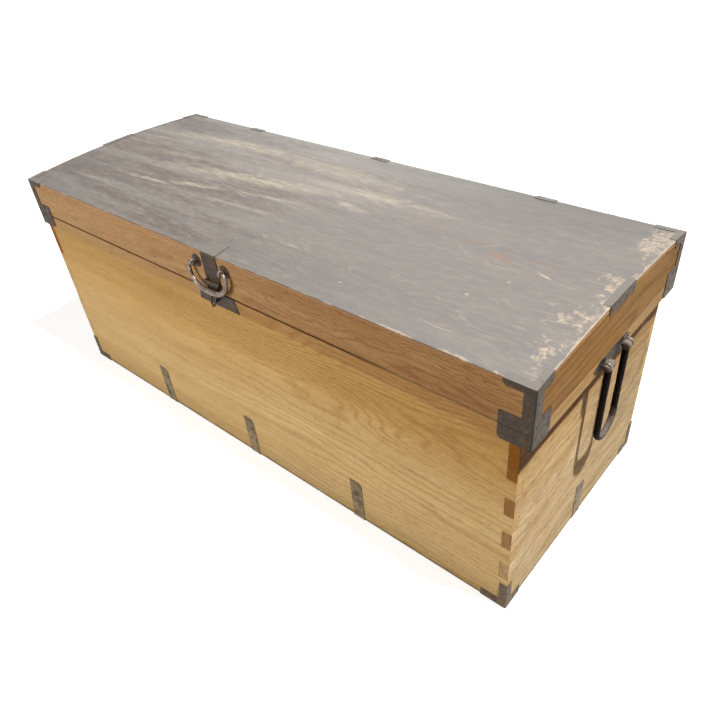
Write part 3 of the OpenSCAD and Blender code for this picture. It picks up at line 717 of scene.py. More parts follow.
STREAKS = (
    Mark(-0.40, 0.158, 0.34, 0.024, 0.04, 1.0, -0.030),
    Mark(-0.49, 0.018, 0.15, 0.016, 0.15, 0.40),
    Mark(-0.44, -0.126, 0.09, 0.007, 0.07, 0.85),
    Mark(-0.28, -0.090, 0.10, 0.010, 0.20, 0.85),
    Mark(-0.12, -0.115, 0.15, 0.006, 0.10, 0.6),
    Mark(-0.17, 0.005, 0.29, 0.026, 0.16, 0.95),
    Mark(-0.06, -0.048, 0.12, 0.006, 0.14, 0.9),
    Mark(-0.04, 0.150, 0.24, 0.046, -0.05, 0.75),
    Mark(0.13, 0.013, 0.05, 0.012, -0.15, 0.9),
    Mark(0.13, 0.082, 0.22, 0.026, 0.02, 0.75),
    Mark(-0.60, 0.085, 0.12, 0.010, 0.10, 0.4),
    Mark(-0.55, -0.190, 0.10, 0.006, 0.08, 0.4),
)
SCRAPES = (
    Mark(0.538, -0.140, 0.0050, 0.0045),
    Mark(0.580, -0.070, 0.0040, 0.0035, 0.0, 0.9),
    Mark(0.624, -0.022, 0.0170, 0.0045, -0.3, 0.9),
    Mark(0.553, -0.242, 0.0560, 0.0012, 0.01, 0.6, 0.004),
    Mark(0.484, 0.022, 0.0300, 0.0016, 0.9, 0.5),
    Mark(0.394, -0.157, 0.0060, 0.0018, 2.0, 0.6),
    Mark(0.300, -0.180, 0.0080, 0.0025, -0.8, 0.5),
    Mark(0.440, -0.010, 0.0300, 0.0014, -0.7, 0.4),
)
CHIPPED = (
    Mark(0.700, -0.120, 0.0450, 0.0500, 0.3),
    Mark(0.715, -0.205, 0.0380, 0.0400, 0.0, 0.9),
    Mark(0.690, 0.040, 0.0400, 0.0500, 0.0, 0.7),
)
RUSTY_SPOTS = (
    Mark(0.518, -0.005, 0.032, 0.0120, -0.25, 0.8),
    Mark(0.438, 0.015, 0.036, 0.0080, 0.0, 0.5),
    Mark(0.610, 0.015, 0.030, 0.0060, 0.0, 0.5),
    Mark(-0.56, 0.000, 0.040, 0.0060, 0.1, 0.5),
    Mark(0.330, 0.035, 0.050, 0.0050, 0.0, 0.4),
)


@dataclass(frozen=True)
class LacquerFinish:
    """Dark lacquer of the lid's top, dulled to grey and worn through in places."""

    grey: Triple = srgb(105, 102, 100)
    deep: Triple = srgb(100, 97, 96)
    browned: Triple = srgb(86, 80, 78)
    bare: Triple = srgb(146, 140, 127)
    under: Triple = srgb(110, 90, 79)
    flake: Triple = srgb(160, 147, 130)
    side: Triple = srgb(160, 122, 82)
    # colour of the painted shade line along the long edges
    edge_shade: Triple = srgb(70, 61, 48)
    inner_dark: Triple = srgb(146, 110, 70)
    inner_light: Triple = srgb(186, 150, 104)

    def material(self) -> bpy.types.Material:
        """Makes the finish, with wear placed as the top of the lid shows it.

        Returns:
            The material.
        """
        g = Surface("weathered_lacquer")
        left = g.step(g.xyz[0], 0.35, -0.25)
        threads = g.drawn(g.own, (7.0, 230.0, 1.0), 4.0, 0.68, 0.25)
        bands = g.drawn(g.own, (1.8, 22.0, 1.0), 3.0, 0.6, 0.3)
        mottle = g.drawn(g.own, (30.0, 125.0, 1.0), 6.0, 0.77)
        colour = g.mix(g.step(bands, 0.36, 0.64), g.mix(left, self.deep, self.browned), self.grey)
        colour = g.tint(g.fit(threads, 3.0, -1.35) * (left * 0.5 + 0.12), colour, (0.72, 0.68, 0.66))
        colour = g.mix(g.fit(mottle, 5.0, -2.35) * (left * 0.12 + 0.22), colour, self.bare)
        # Painted shade and light across the top.
        colour = self.painted_light_across(g, colour)
        worn = g.step(threads, 0.42, 0.56) * g.step(mottle, 0.34, 0.54) * 0.68 + 0.32
        drawn = self.marked(g, STREAKS) * 0.96 * worn
        loose = g.step(threads, 0.60, 0.72) * left * 0.30
        colour = g.mix(g.most(drawn, loose), colour, self.bare)
        colour = g.mix(self.marked(g, RUSTY_SPOTS), colour, self.under)
        flaked = g.most(self.flakes(g), self.marked(g, SCRAPES))
        colour = g.mix(flaked * 0.62, colour, self.flake)
        grime = grime_marks(g, g.own)
        for marks in ("scratches", "specks"):
            colour = g.mix(grime[marks] * 0.22, colour, self.bare)
        colour = self.edged(g, colour)
        lost = g.most(drawn, flaked)
        return g.close(colour, lost * 0.22 + 0.55, threads * 0.35 - lost * 0.5, 0.0004, specular=0.25)

    @staticmethod
    def painted_light_across(g: Surface, colour: Value) -> Value:
        """Paints shade and light across the top: darkens the front left and the rear right a little, and
        lightens the front right.

        Args:
            g: The material's graph.
            colour: Colour so far.

        Returns:
            The colour.
        """
        x, y, _ = g.xyz
        wide = g.step(x, -0.75, 0.75)
        colour = g.tint(g.step(x, -0.35, 0.35), colour, (0.84, 0.84, 0.85))
        colour = g.tint(g.step(y, 0.0, -0.26), colour, g.mix(wide, (0.78, 0.77, 0.77), (1.02, 1.03, 1.03)))
        return g.tint(g.step(y, 0.05, 0.26), colour, g.mix(wide, (0.91, 0.93, 0.94), (0.89, 0.92, 0.93)))

    @staticmethod
    def marked(g: Surface, marks: Sequence[Mark]) -> Value:
        """Joins the masks of several worn marks.

        Args:
            g: The material's graph.
            marks: The marks.

        Returns:
            The mask.
        """
        return g.most(0.0, *(
            worn_streak(g, g.own, middle=(m.x, m.y, 0.0), half_length=m.half_length, half_width=m.half_width,
                        slope=m.slope, bow=m.bow)["mask"] * m.strength for m in marks))

    @staticmethod
    def flakes(g: Surface) -> Value:
        """Masks small flaked chips, thickest along the right end and at its rear corner.

        Args:
            g: The material's graph.

        Returns:
            The mask.
        """
        x, y, _ = g.xyz
        to_end = SIZES.half_lid - abs(x)
        right = g.step(x, 0.0, 0.1)
        near = g.step(to_end, right * 0.085 + 0.02, 0.0) * (right * 0.6 + 0.4)
        corner = g.step(y, 0.10, 0.24) * right * g.step(to_end, 0.14, 0.05)
        chips = g.drawn(g.own, (62.0, 46.0, 1.0), 6.0, 0.74, 0.2)
        patch = g.drawn(g.own, (19.0, 13.0, 1.0), 2.0, 0.5, shift=(4.1, 0.7, 0))
        gate = 0.79 - patch * (near * 0.50 + corner * 0.22) - LacquerFinish.marked(g, CHIPPED) * 0.13
        crumbs = g.step(g.drawn(g.own, (150.0, 190.0, 1.0), 3.0, 0.7), 0.42, 0.58)
        small = g.step(g.noise(g.own, 90.0, 3.0, 0.65), 0.745, 0.765)
        return g.most(g.step(chips, gate - 0.05, gate + 0.07) * (crumbs * 0.75 + 0.25),
                      small * g.step(x, -0.1, 0.6))

    def edged(self, g: Surface, colour: Value) -> Value:
        """Adds the rubbed edges, a painted shade line along the long edges, the panel's sides and its bare
        underside.

        How far a point lies under the arched top counts from the parabola that touches its circle.

        Args:
            g: The material's graph.
            colour: Colour so far.

        Returns:
            The colour.
        """
        x, y, z = g.xyz
        to_end = SIZES.half_lid - abs(x)
        to_side = SIZES.half_depth - abs(y)
        drop = SIZES.edge - z
        deep = y * y * (-SIZES.crown / SIZES.half_depth**2) + (SIZES.edge + SIZES.crown) - z
        ragged = g.drawn(g.own, (22.0, 60.0, 60.0), 4.0, 0.7)
        right = g.step(x, 0.28, 0.52)
        reach = g.step(ragged, 0.40, 0.62) * (right * 0.005 + 0.003)
        line = g.step(to_side, reach, reach * 0.6) * g.step(reach, 0.0, 0.001)
        colour = g.mix(line * (right * 0.26 + 0.18), colour, self.flake)
        reach = g.drawn(g.own, (30.0, 46.0, 30.0), 5.0, 0.7, shift=(3, 1, 0)) * 0.016 - 0.0045
        line = g.step(to_end, reach, reach * 0.5)
        colour = g.mix(line * (g.step(x, 0, 0.1) * 0.25 + 0.22), colour, self.flake)
        wood = g.tint(1.0, self.side, g.mix(ragged, (0.8, 0.8, 0.8), (1.2, 1.18, 1.15)))
        wood = g.tint(g.step(x, -0.35, 0.65), wood, (0.76, 0.70, 0.62))
        off_front = g.step(to_side, 0.0008, 0.0004) * g.step(drop, 0.0006, 0.0020)
        off_end = g.step(to_end, 0.0008, 0.0004) * g.step(deep, 0.0008, 0.0022)
        # Painted shade: a thin ragged dark line along the front and rear edges of the top.
        colour = g.mix(g.step(to_side, 0.0018, 0.0010) * g.step(ragged, 0.66, 0.50), colour, self.edge_shade)
        colour = g.mix(g.most(off_front, off_end), colour, wood)
        inside = g.step(deep, 0.0035, 0.0045) * g.step(to_side, 0.006, 0.008) * g.step(to_end, 0.006, 0.008)
        strands = g.step(g.drawn(g.own, (2.5, 75.0, 1.0), 4.0, 0.62, 0.3), 0.32, 0.68)
        return g.mix(inside, colour, g.mix(strands, self.inner_dark, self.inner_light))


@dataclass(frozen=True)
class IronFinish:
    """Colours of one kind of ironwork."""

    name: str
    base: Triple
    bloom: Triple
    rub: Triple
    metal: float = 0.35
    rough: float = 0.52
    relief: float = 0.0006
    rubbed: float = 0.35
    dust: float = 0.0
    worn_head_and_highlight: float = 0.0
    gloss: float = 0.16
    # colour of the painted shade in creases
    crease_shade: Triple = srgb(34, 28, 22)
    foot_tone: Triple = srgb(158, 138, 104)
    greyed: tuple[Triple, Triple] = (srgb(90, 87, 85), srgb(100, 97, 94))
    worn_and_highlight_tones: tuple[Triple, Triple] = (srgb(104, 95, 90), srgb(150, 140, 134))

    def material(self) -> bpy.types.Material:
        """Makes the finish; dusty pieces get painted shade along their corner bends and the seam, and turn grey
        where they lie on the lid's top.

        Returns:
            The material.
        """
        g = Surface(self.name)
        skin = forged_skin(g, g.own)
        colour = g.mix(skin["bloom"] * 0.85, self.base, self.bloom)
        colour = g.mix(skin["rub"] * self.rubbed, colour, self.rub)
        metal = (skin["bloom"] * -0.6 + 1.0) * self.metal
        if self.worn_head_and_highlight:
            # Worn heads, and an inner bend that is both worn and a painted highlight.
            head = self.handled(g) * self.worn_head_and_highlight
            colour = g.mix(head, colour, g.mix(skin["rub"], *self.worn_and_highlight_tones))
        if self.dust:
            patchy = g.noise(g.own, 46.0, 4.0, 0.65)
            on_top = self.lying(g, patchy)
            # Painted shade along the corner bends and the lid's seam.
            colour = g.mix(self.shade_lines(g), colour, self.crease_shade)
            colour = g.mix(on_top, colour, g.mix(patchy, *self.greyed))
            colour = g.mix(self.dusted(g, patchy), colour, self.foot_tone)
            metal = metal * (1.0 - on_top)
        return g.close(colour, skin["bloom"] * 0.2 + self.rough, skin["height"], self.relief, metal,
                       self.gloss)

    @staticmethod
    def handled(g: Surface) -> Value:
        """Masks the heads of a pole bail and the inner side of its bend; the pale inner bend is worn metal and
        also a painted highlight where it faces the light from above.

        Args:
            g: The material's graph.

        Returns:
            The mask.
        """
        _, y, z = g.xyz
        from_bend = g.length(g.out("CombineXYZ", {1: y, 2: z - SIZES.pole_bend_z}))
        inner = g.step(from_bend, SIZES.pole_half_gap - 0.0005, SIZES.pole_half_gap - 0.0025)
        inner = inner * g.step(z, SIZES.pole_bend_z + 0.023, SIZES.pole_bend_z)
        return g.most(g.step(z, SIZES.pole_z - 0.0095, SIZES.pole_z - 0.0075), inner * 0.75)

    @staticmethod
    def lying(g: Surface, patchy: Value) -> Value:
        """Masks the flanges that lie on the lid's top, and the upper edge of the rear irons.

        Args:
            g: The material's graph.
            patchy: Noise that breaks up the dust.

        Returns:
            The mask.
        """
        x, y, z = g.xyz
        strap_y = 0.2805
        on_top = g.step(z - SIZES.edge, 0.0006, 0.0013) * g.step(patchy, 0.22, 0.40)
        strap_end = g.step(abs(y - strap_y), 0.0045, 0.0035) * g.step(abs(x), 0.019, 0.017)
        off_end = g.step(abs(x), SIZES.half_lid - 0.0002, SIZES.half_lid + 0.0002)
        brow = g.step(z, 0.577, 0.581) * g.step(y, 0.284, 0.286) * g.step(abs(x), 0.08, 0.09)
        return g.most(on_top * (1.0 - g.most(strap_end, off_end)), brow)

    @staticmethod
    def shade_lines(g: Surface) -> Value:
        """Masks the painted shade along the upright corner lines and the line of the lid's seam.

        Args:
            g: The material's graph.

        Returns:
            The mask.
        """
        x, y, z = g.xyz
        corner = (g.step(abs(x) - SIZES.half_lid, -0.0026, -0.0008)
                  * g.step(abs(y) - SIZES.half_depth, -0.0026, -0.0008))
        return g.most(corner, g.step(abs(z - SIZES.seam), 0.0013, 0.0007))

    def dusted(self, g: Surface, patchy: Value) -> Value:
        """Masks the dust on the low irons, thinner at the corners.

        Args:
            g: The material's graph.
            patchy: Noise that breaks up the dust.

        Returns:
            The mask.
        """
        x, y, z = g.xyz
        foot = g.step(abs(x), 0.66, 0.68) * g.step(abs(y), 0.20, 0.22)
        return g.step(z, 0.20, 0.02) * g.step(patchy, 0.3, 0.6) * self.dust * (foot * -0.7 + 1.0)


SHEET_IRON = IronFinish("sheet_iron", srgb(52, 44, 36), srgb(80, 61, 43), srgb(108, 95, 80), metal=0.1,
                        dust=0.8)
DARK_IRON = IronFinish("dark_iron", srgb(50, 44, 38), srgb(70, 53, 39), srgb(104, 94, 84), metal=0.4)
GRIP_IRON = IronFinish("grip_iron", srgb(98, 86, 78), srgb(76, 57, 46), srgb(186, 174, 163), metal=0.85,
                       rough=0.28, relief=0.0008, rubbed=0.5, gloss=0.3)
POLE_IRON = IronFinish("pole_iron", srgb(22, 17, 14), srgb(30, 23, 18), srgb(50, 45, 42), metal=0.0,
                       rough=0.55, relief=0.0009, rubbed=0.3, worn_head_and_highlight=0.9, gloss=0.03)
EYE_IRON = IronFinish("eye_iron", srgb(112, 102, 94), srgb(90, 68, 52), srgb(164, 155, 146), metal=0.5,
                      rough=0.45, relief=0.0005, rubbed=0.5)


# ---- surfaces -----------------------------------------------------------------------------


def added(name: str, data: Any) -> bpy.types.Object:
    """Puts a new object into the scene.

    Args:
        name: The object's name.
        data: Its mesh, lamp or camera.

    Returns:
        The object.
    """
    thing = bpy.data.objects.new(name, data)
    bpy.context.scene.collection.objects.link(thing)
    return thing


def rounded(piece: bpy.types.Object, **settings: Any) -> None:
    """Adds a modifier that rounds a piece's edges.

    Args:
        piece: The piece.
        **settings: The modifier's settings.
    """
    ease = piece.modifiers.new("eased edges", "BEVEL")
    for name, value in {**settings, "harden_normals": True}.items():
        setattr(ease, name, value)


@dataclass(frozen=True)
class Skin:
    """Points of a closed surface, with the quads and triangles that join them."""

    points: np.ndarray
    quads: np.ndarray
    triangles: np.ndarray

    def mirrored(self, axis: int) -> "Skin":
        """Gives the surface reflected across the plane square to an axis, with its faces turned back out.

        Args:
            axis: The axis, from 0 to 2.

        Returns:
            The new surface.
        """
        points = self.points.copy()
        points[:, axis] *= -1
        return Skin(points, self.quads[:, ::-1], self.triangles[:, ::-1])

    @staticmethod
    def joined(skins: Sequence["Skin"]) -> "Skin":
        """Gives one surface that holds several.

        Args:
            skins: The surfaces.

        Returns:
            The one surface.
        """
        starts = np.cumsum([0] + [len(s.points) for s in skins[:-1]])
        return Skin(np.concatenate([s.points for s in skins]),
                    np.concatenate([s.quads + n for s, n in zip(skins, starts)]),
                    np.concatenate([s.triangles + n for s, n in zip(skins, starts)]))

    def piece(self, name: str, finish: bpy.types.Material, body: str, slot: str,
              replaces: Sequence[str] = ()) -> bpy.types.Object:
        """Makes a mesh object of the surface.

        Args:
            name: The piece's name.
            finish: Its material.
            body: The moving body that it rides on.
            slot: The record's slot of its finish; not used.
            replaces: Solids that it stands for.

        Returns:
            The object.
        """
        mesh = bpy.data.meshes.new(name)
        corners = np.concatenate([self.quads.ravel(), self.triangles.ravel()]).astype(np.int32)
        counts = np.repeat([4, 3], [len(self.quads), len(self.triangles)]).astype(np.int32)
        starts = np.concatenate([[0], np.cumsum(counts)[:-1]]).astype(np.int32)
        mesh.vertices.add(len(self.points))
        mesh.vertices.foreach_set("co", self.points.astype(np.float32).ravel())
        mesh.loops.add(len(corners))
        mesh.loops.foreach_set("vertex_index", corners)
        mesh.polygons.add(len(counts))
        mesh.polygons.foreach_set("loop_start", starts)
        mesh.polygons.foreach_set("loop_total", counts)
        mesh.update(calc_edges=True)
        mesh.validate()
        mesh.shade_smooth()
        mesh.set_sharp_from_angle(angle=math.radians(50))
        mesh.materials.append(finish)
        piece = added(name, mesh)
        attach(piece, body)
        if replaces:
            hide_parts(*replaces)
        LOG.info("piece %s: %d points on %s", name, len(self.points), body)
        return piece


def circle(sides: int) -> tuple[np.ndarray, np.ndarray]:
    """Gives the cosines and sines of points that go once round."""
    turn = np.linspace(0, 2 * np.pi, sides, endpoint=False)
    return np.cos(turn), np.sin(turn)


def sweep(rings: np.ndarray) -> Skin:
    """Joins rings of points into a closed surface.

    Ring k and ring k + 1 are joined by quads all the way round. Fans from the mean points of the
    first and the last ring close the ends.

    Args:
        rings: Points as rings by sides by 3, each ring turning left seen from the row's end.

    Returns:
        The surface.
    """
    count, sides, _ = rings.shape
    index = np.arange(count * sides).reshape(count, sides)
    first, after = index[:-1], index[1:]
    quads = np.stack([first, np.roll(first, -1, 1), np.roll(after, -1, 1), after], -1).reshape(-1, 4)
    points = np.concatenate([rings.reshape(-1, 3), rings[[0, -1]].mean(1)])
    a, b = index[0], index[-1]
    low = np.stack([np.roll(a, -1), a, np.full(sides, index.size)], -1)
    high = np.stack([b, np.roll(b, -1), np.full(sides, index.size + 1)], -1)
    return Skin(points, quads, np.concatenate([low, high]))


def revolve(profile: Sequence[tuple[float, float]], centre: Triple, axis: Triple, sides: int) -> Skin:
    """Turns a profile about an axis.

    A profile point of radius r and height h becomes a circle of radius r at h along the axis.

    Args:
        profile: Pairs of radius and height.
        centre: Where the height is nought.
        axis: Direction of the axis.
        sides: Points of each circle.

    Returns:
        The surface.
    """
    along = np.asarray(Vector(axis).normalized())
    side = np.asarray(Vector(axis).orthogonal().normalized())
    c, s = circle(sides)
    spokes = c[:, None] * side + s[:, None] * np.cross(along, side)
    r, h = np.asarray(profile, float).T[..., None, None]
    return sweep(np.asarray(centre) + r * spokes + h * along)


def bar_rings(path: np.ndarray, across: np.ndarray, wide: np.ndarray, deep: np.ndarray, sides: int,
              square: float) -> np.ndarray:
    """Lays superellipse rings along a path.

    Each ring is the path's point plus wide times the cosine along the across direction and deep
    times the sine along the direction square to it and to the path, both raised to 2 / square.

    Args:
        path: Points of the middle line.
        across: One direction across the bar at each point.
        wide: Half width along it.
        deep: Half width square to it.
        sides: Points of a ring.
        square: 2 for an ellipse, more for a squarer section.

    Returns:
        The rings.
    """
    forward = np.gradient(path, axis=0)
    forward /= np.linalg.norm(forward, axis=1, keepdims=True)
    across = across - (across * forward).sum(1, keepdims=True) * forward
    across /= np.linalg.norm(across, axis=1, keepdims=True)
    up = np.cross(forward, across)
    c, s = (np.sign(part) * np.abs(part) ** (2 / square) for part in circle(sides))
    return (path[:, None] + (wide[:, None] * c)[..., None] * across[:, None]
            + (deep[:, None] * s)[..., None] * up[:, None])


def hammered(points: np.ndarray, depth: float, seed: int) -> np.ndarray:
    """Moves points by a sum of short sine waves, as hammer work leaves them.

    Args:
        points: Points of any array shape that ends in 3.
        depth: Greatest move.
        seed: Seed of the waves' directions.

    Returns:
        The moved points.
    """
    rng = np.random.default_rng(seed)
    count, crowding = 6, 190
    waves = rng.normal(size=(count, 3)) * crowding
    push = rng.normal(size=(count, 3))
    push /= np.linalg.norm(push, axis=1, keepdims=True)
    phase = rng.uniform(0, 6.28, count)
    return points + depth / 3 * np.sin(points @ waves.T + phase) @ push


def nail_heads(nails: Sequence[tuple[Triple, Triple]]) -> Skin:
    """Makes low domed nail heads.

    A head is four circles of 9 points under a tip, at 1, 1, 0.86 and 0.5 of the radius and -0.25,
    0.12, 0.55 and 0.92 of the height. Sizes differ by up to a tenth.

    Args:
        nails: Where the heads sit, each with its direction.

    Returns:
        One surface with all heads.
    """
    radius, height = 0.0027, 0.0011
    reach, rise = np.array([(1.0, -0.25), (1.0, 0.12), (0.86, 0.55), (0.5, 0.92)]).T[..., None]
    c, s = circle(9)
    head = sweep(np.stack([reach * c, reach * s, rise + 0 * c], -1))
    head.points[-1, 2] = 1.0
    places, outward = np.array(nails, float).swapaxes(0, 1)
    side = np.cross(outward, np.where(np.abs(outward[:, :1]) < 0.9, [[1.0, 0, 0]], [[0, 1.0, 0]]))
    side /= np.linalg.norm(side, axis=1, keepdims=True)
    axes = np.stack([side, np.cross(outward, side), outward], 1)
    sizes = np.random.default_rng(3).uniform(0.9, 1.1, (len(nails), 1, 1)) * (radius, radius, height)
    points = places[:, None] + head.points * sizes @ axes
    steps = np.arange(len(nails))[:, None, None] * len(head.points)
    return Skin(points.reshape(-1, 3), (head.quads + steps).reshape(-1, 4),
                (head.triangles + steps).reshape(-1, 3))


def eased_copy(node: str, finish: bpy.types.Material, width: float, shortest: float = 0.004,
               segments: int = 2) -> None:
    """Stands a copy of a solid with eased edges in for it.

    The copy's triangles are merged and its flat faces made whole. Edges that turn by more than 30
    degrees and are long enough get a narrow rounding.

    Args:
        node: The solid's name.
        finish: The copy's material.
        width: Width of the rounding.
        shortest: Length under which an edge stays sharp.
        segments: Steps of the rounding.
    """
    solid = frame["nodes"][node]
    mesh = solid.data.copy()
    mesh.name = "eased_" + node
    work = bmesh.new()
    work.from_mesh(mesh)
    bmesh.ops.remove_doubles(work, verts=work.verts, dist=2e-6)
    bmesh.ops.dissolve_limit(work, angle_limit=math.radians(0.4), verts=work.verts, edges=work.edges)
    sharp = math.radians(30)
    weights = np.array([float(len(e.link_faces) == 2 and e.calc_length() > shortest
                              and e.calc_face_angle(0) > sharp) for e in work.edges])
    work.to_mesh(mesh)
    work.free()
    mesh.attributes.new("bevel_weight_edge", "FLOAT", "EDGE").data.foreach_set("value", weights)
    mesh.materials.clear()
    mesh.materials.append(finish)
    mesh.shade_smooth()
    mesh.set_sharp_from_angle(angle=math.radians(28))
    piece = added("eased_" + node, mesh)
    rounded(piece, limit_method="WEIGHT", width=width, segments=segments, use_clamp_overlap=False)
    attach(piece, solid["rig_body"])
    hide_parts(node)
    LOG.info("piece %s: %d faces before easing", piece.name, len(mesh.polygons))


def dress(finish: bpy.types.Material, *nodes: str) -> None:
    """Gives carried-over solids their material.

    Args:
        finish: The material.
        *nodes: The solids' names.
    """
    for node in nodes:
        slots = frame["nodes"][node].data.materials
        slots.clear()
        slots.append(finish)


# ---- sub-assemblies -----------------------------------------------------------------------


@dataclass(frozen=True)
class Boards:
    """Boards of one timber, with the same wear and slot."""

    nodes: tuple[str, ...]
    timber: TimberFinish
    wear: Wear
    slot: str

    def lay(self, easing: float) -> None:
        """Stands an eased copy in for each board."""
        for node in self.nodes:
            eased_copy(node, self.timber.material(*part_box(node), self.wear), easing)


@dataclass
class BoxTimber:
    """Walls, battens and bottom of the box."""

    easing: float = 0.0012

    def build(self) -> None:
        """Dresses every board with the grain and end grain that it shows."""
        # The wear paints shade and light on the boards: under the lid's lip, from the floor, under the batten,
        # towards the rear and in the seam.
        long = Wear(end_at=SIZES.half_box, foot=0.7, fade=0.75, seam=0.85, band=0.9)
        end = Wear(end_at=SIZES.half_depth, low_ends=0.78, foot=0.5, fade=0.45, rear_shade=0.8, batten_shadow=0.9)
        batten = Wear(end_at=SIZES.half_depth, seam=0.7, rear_shade=0.6)
        dim_end = replace(END_TIMBER, end_grain=srgb(140, 88, 46))
        for boards in (
            Boards(("front_board", "rear_board"), FRONT_TIMBER, long, "front_wood"),
            Boards(("left_end_board",), dim_end, replace(end, low_ends=0.12), "end_wood"),
            Boards(("right_end_board",), END_TIMBER, end, "end_wood"),
            Boards(("left_end_batten", "right_end_batten"), BATTEN_TIMBER, batten, "end_wood"),
            Boards(("bottom_board",), FLOOR_TIMBER, Wear(), "end_wood"),
        ):
            boards.lay(self.easing)


@dataclass
class LidTimber:
    """Frame, ribs and arched top of the lid."""

    easing: float = 0.0010
    steps: int = 96
    sections: int = 9

    def build(self) -> None:
        """Dresses the frame and the ribs and makes the top."""
        # The seam and rear wear paint shade on the lid's frame.
        long = Wear(end_at=SIZES.half_lid, redden=0.8, seam=0.85)
        end = Wear(end_at=SIZES.half_depth, seam=0.8, rear_shade=0.4)
        for boards in (
            Boards(("lid_front_rim", "lid_rear_rim"), RIM_TIMBER, long, "lid_wood"),
            Boards(("lid_left_rim", "lid_right_rim"), END_RIM_TIMBER, end, "lid_wood"),
            Boards(("lid_left_rib", "lid_right_rib"), END_RIM_TIMBER, Wear(), "lid_wood"),
        ):
            boards.lay(self.easing)
        top = self.top_skin().piece("arched_top", LacquerFinish().material(), "lid", "lid_lacquer", ["lid_top"])
        rounded(top, limit_method="ANGLE", angle_limit=math.radians(50), width=0.0014, segments=3)

    def top_skin(self) -> Skin:
        """Gives the arched slab.

        Its section runs along the circle one board thickness below the lid's, from front to rear,
        and back along the lid's own circle. Such sections lie along the length, and quads between
        the two circles close both ends.

        Returns:
            The surface.
        """
        y = np.linspace(-SIZES.half_depth, SIZES.half_depth, self.steps)
        section = np.concatenate([np.column_stack([y, SIZES.arch(y, SIZES.panel)]),
                                  np.column_stack([y, SIZES.arch(y)])[::-1]])
        x = np.linspace(-SIZES.half_lid, SIZES.half_lid, self.sections)
        count = len(section)
        rings = np.empty((self.sections, count, 3))
        rings[..., 0], rings[..., 1:] = x[:, None], section
        walk = np.arange(self.steps - 1)
        start = np.stack([walk, count - 1 - walk, count - 2 - walk, walk + 1], -1)
        end = start[:, ::-1] + (self.sections - 1) * count
        quads = np.concatenate([sweep(rings).quads, start, end])
        return Skin(rings.reshape(-1, 3), quads, np.zeros((0, 3), int))


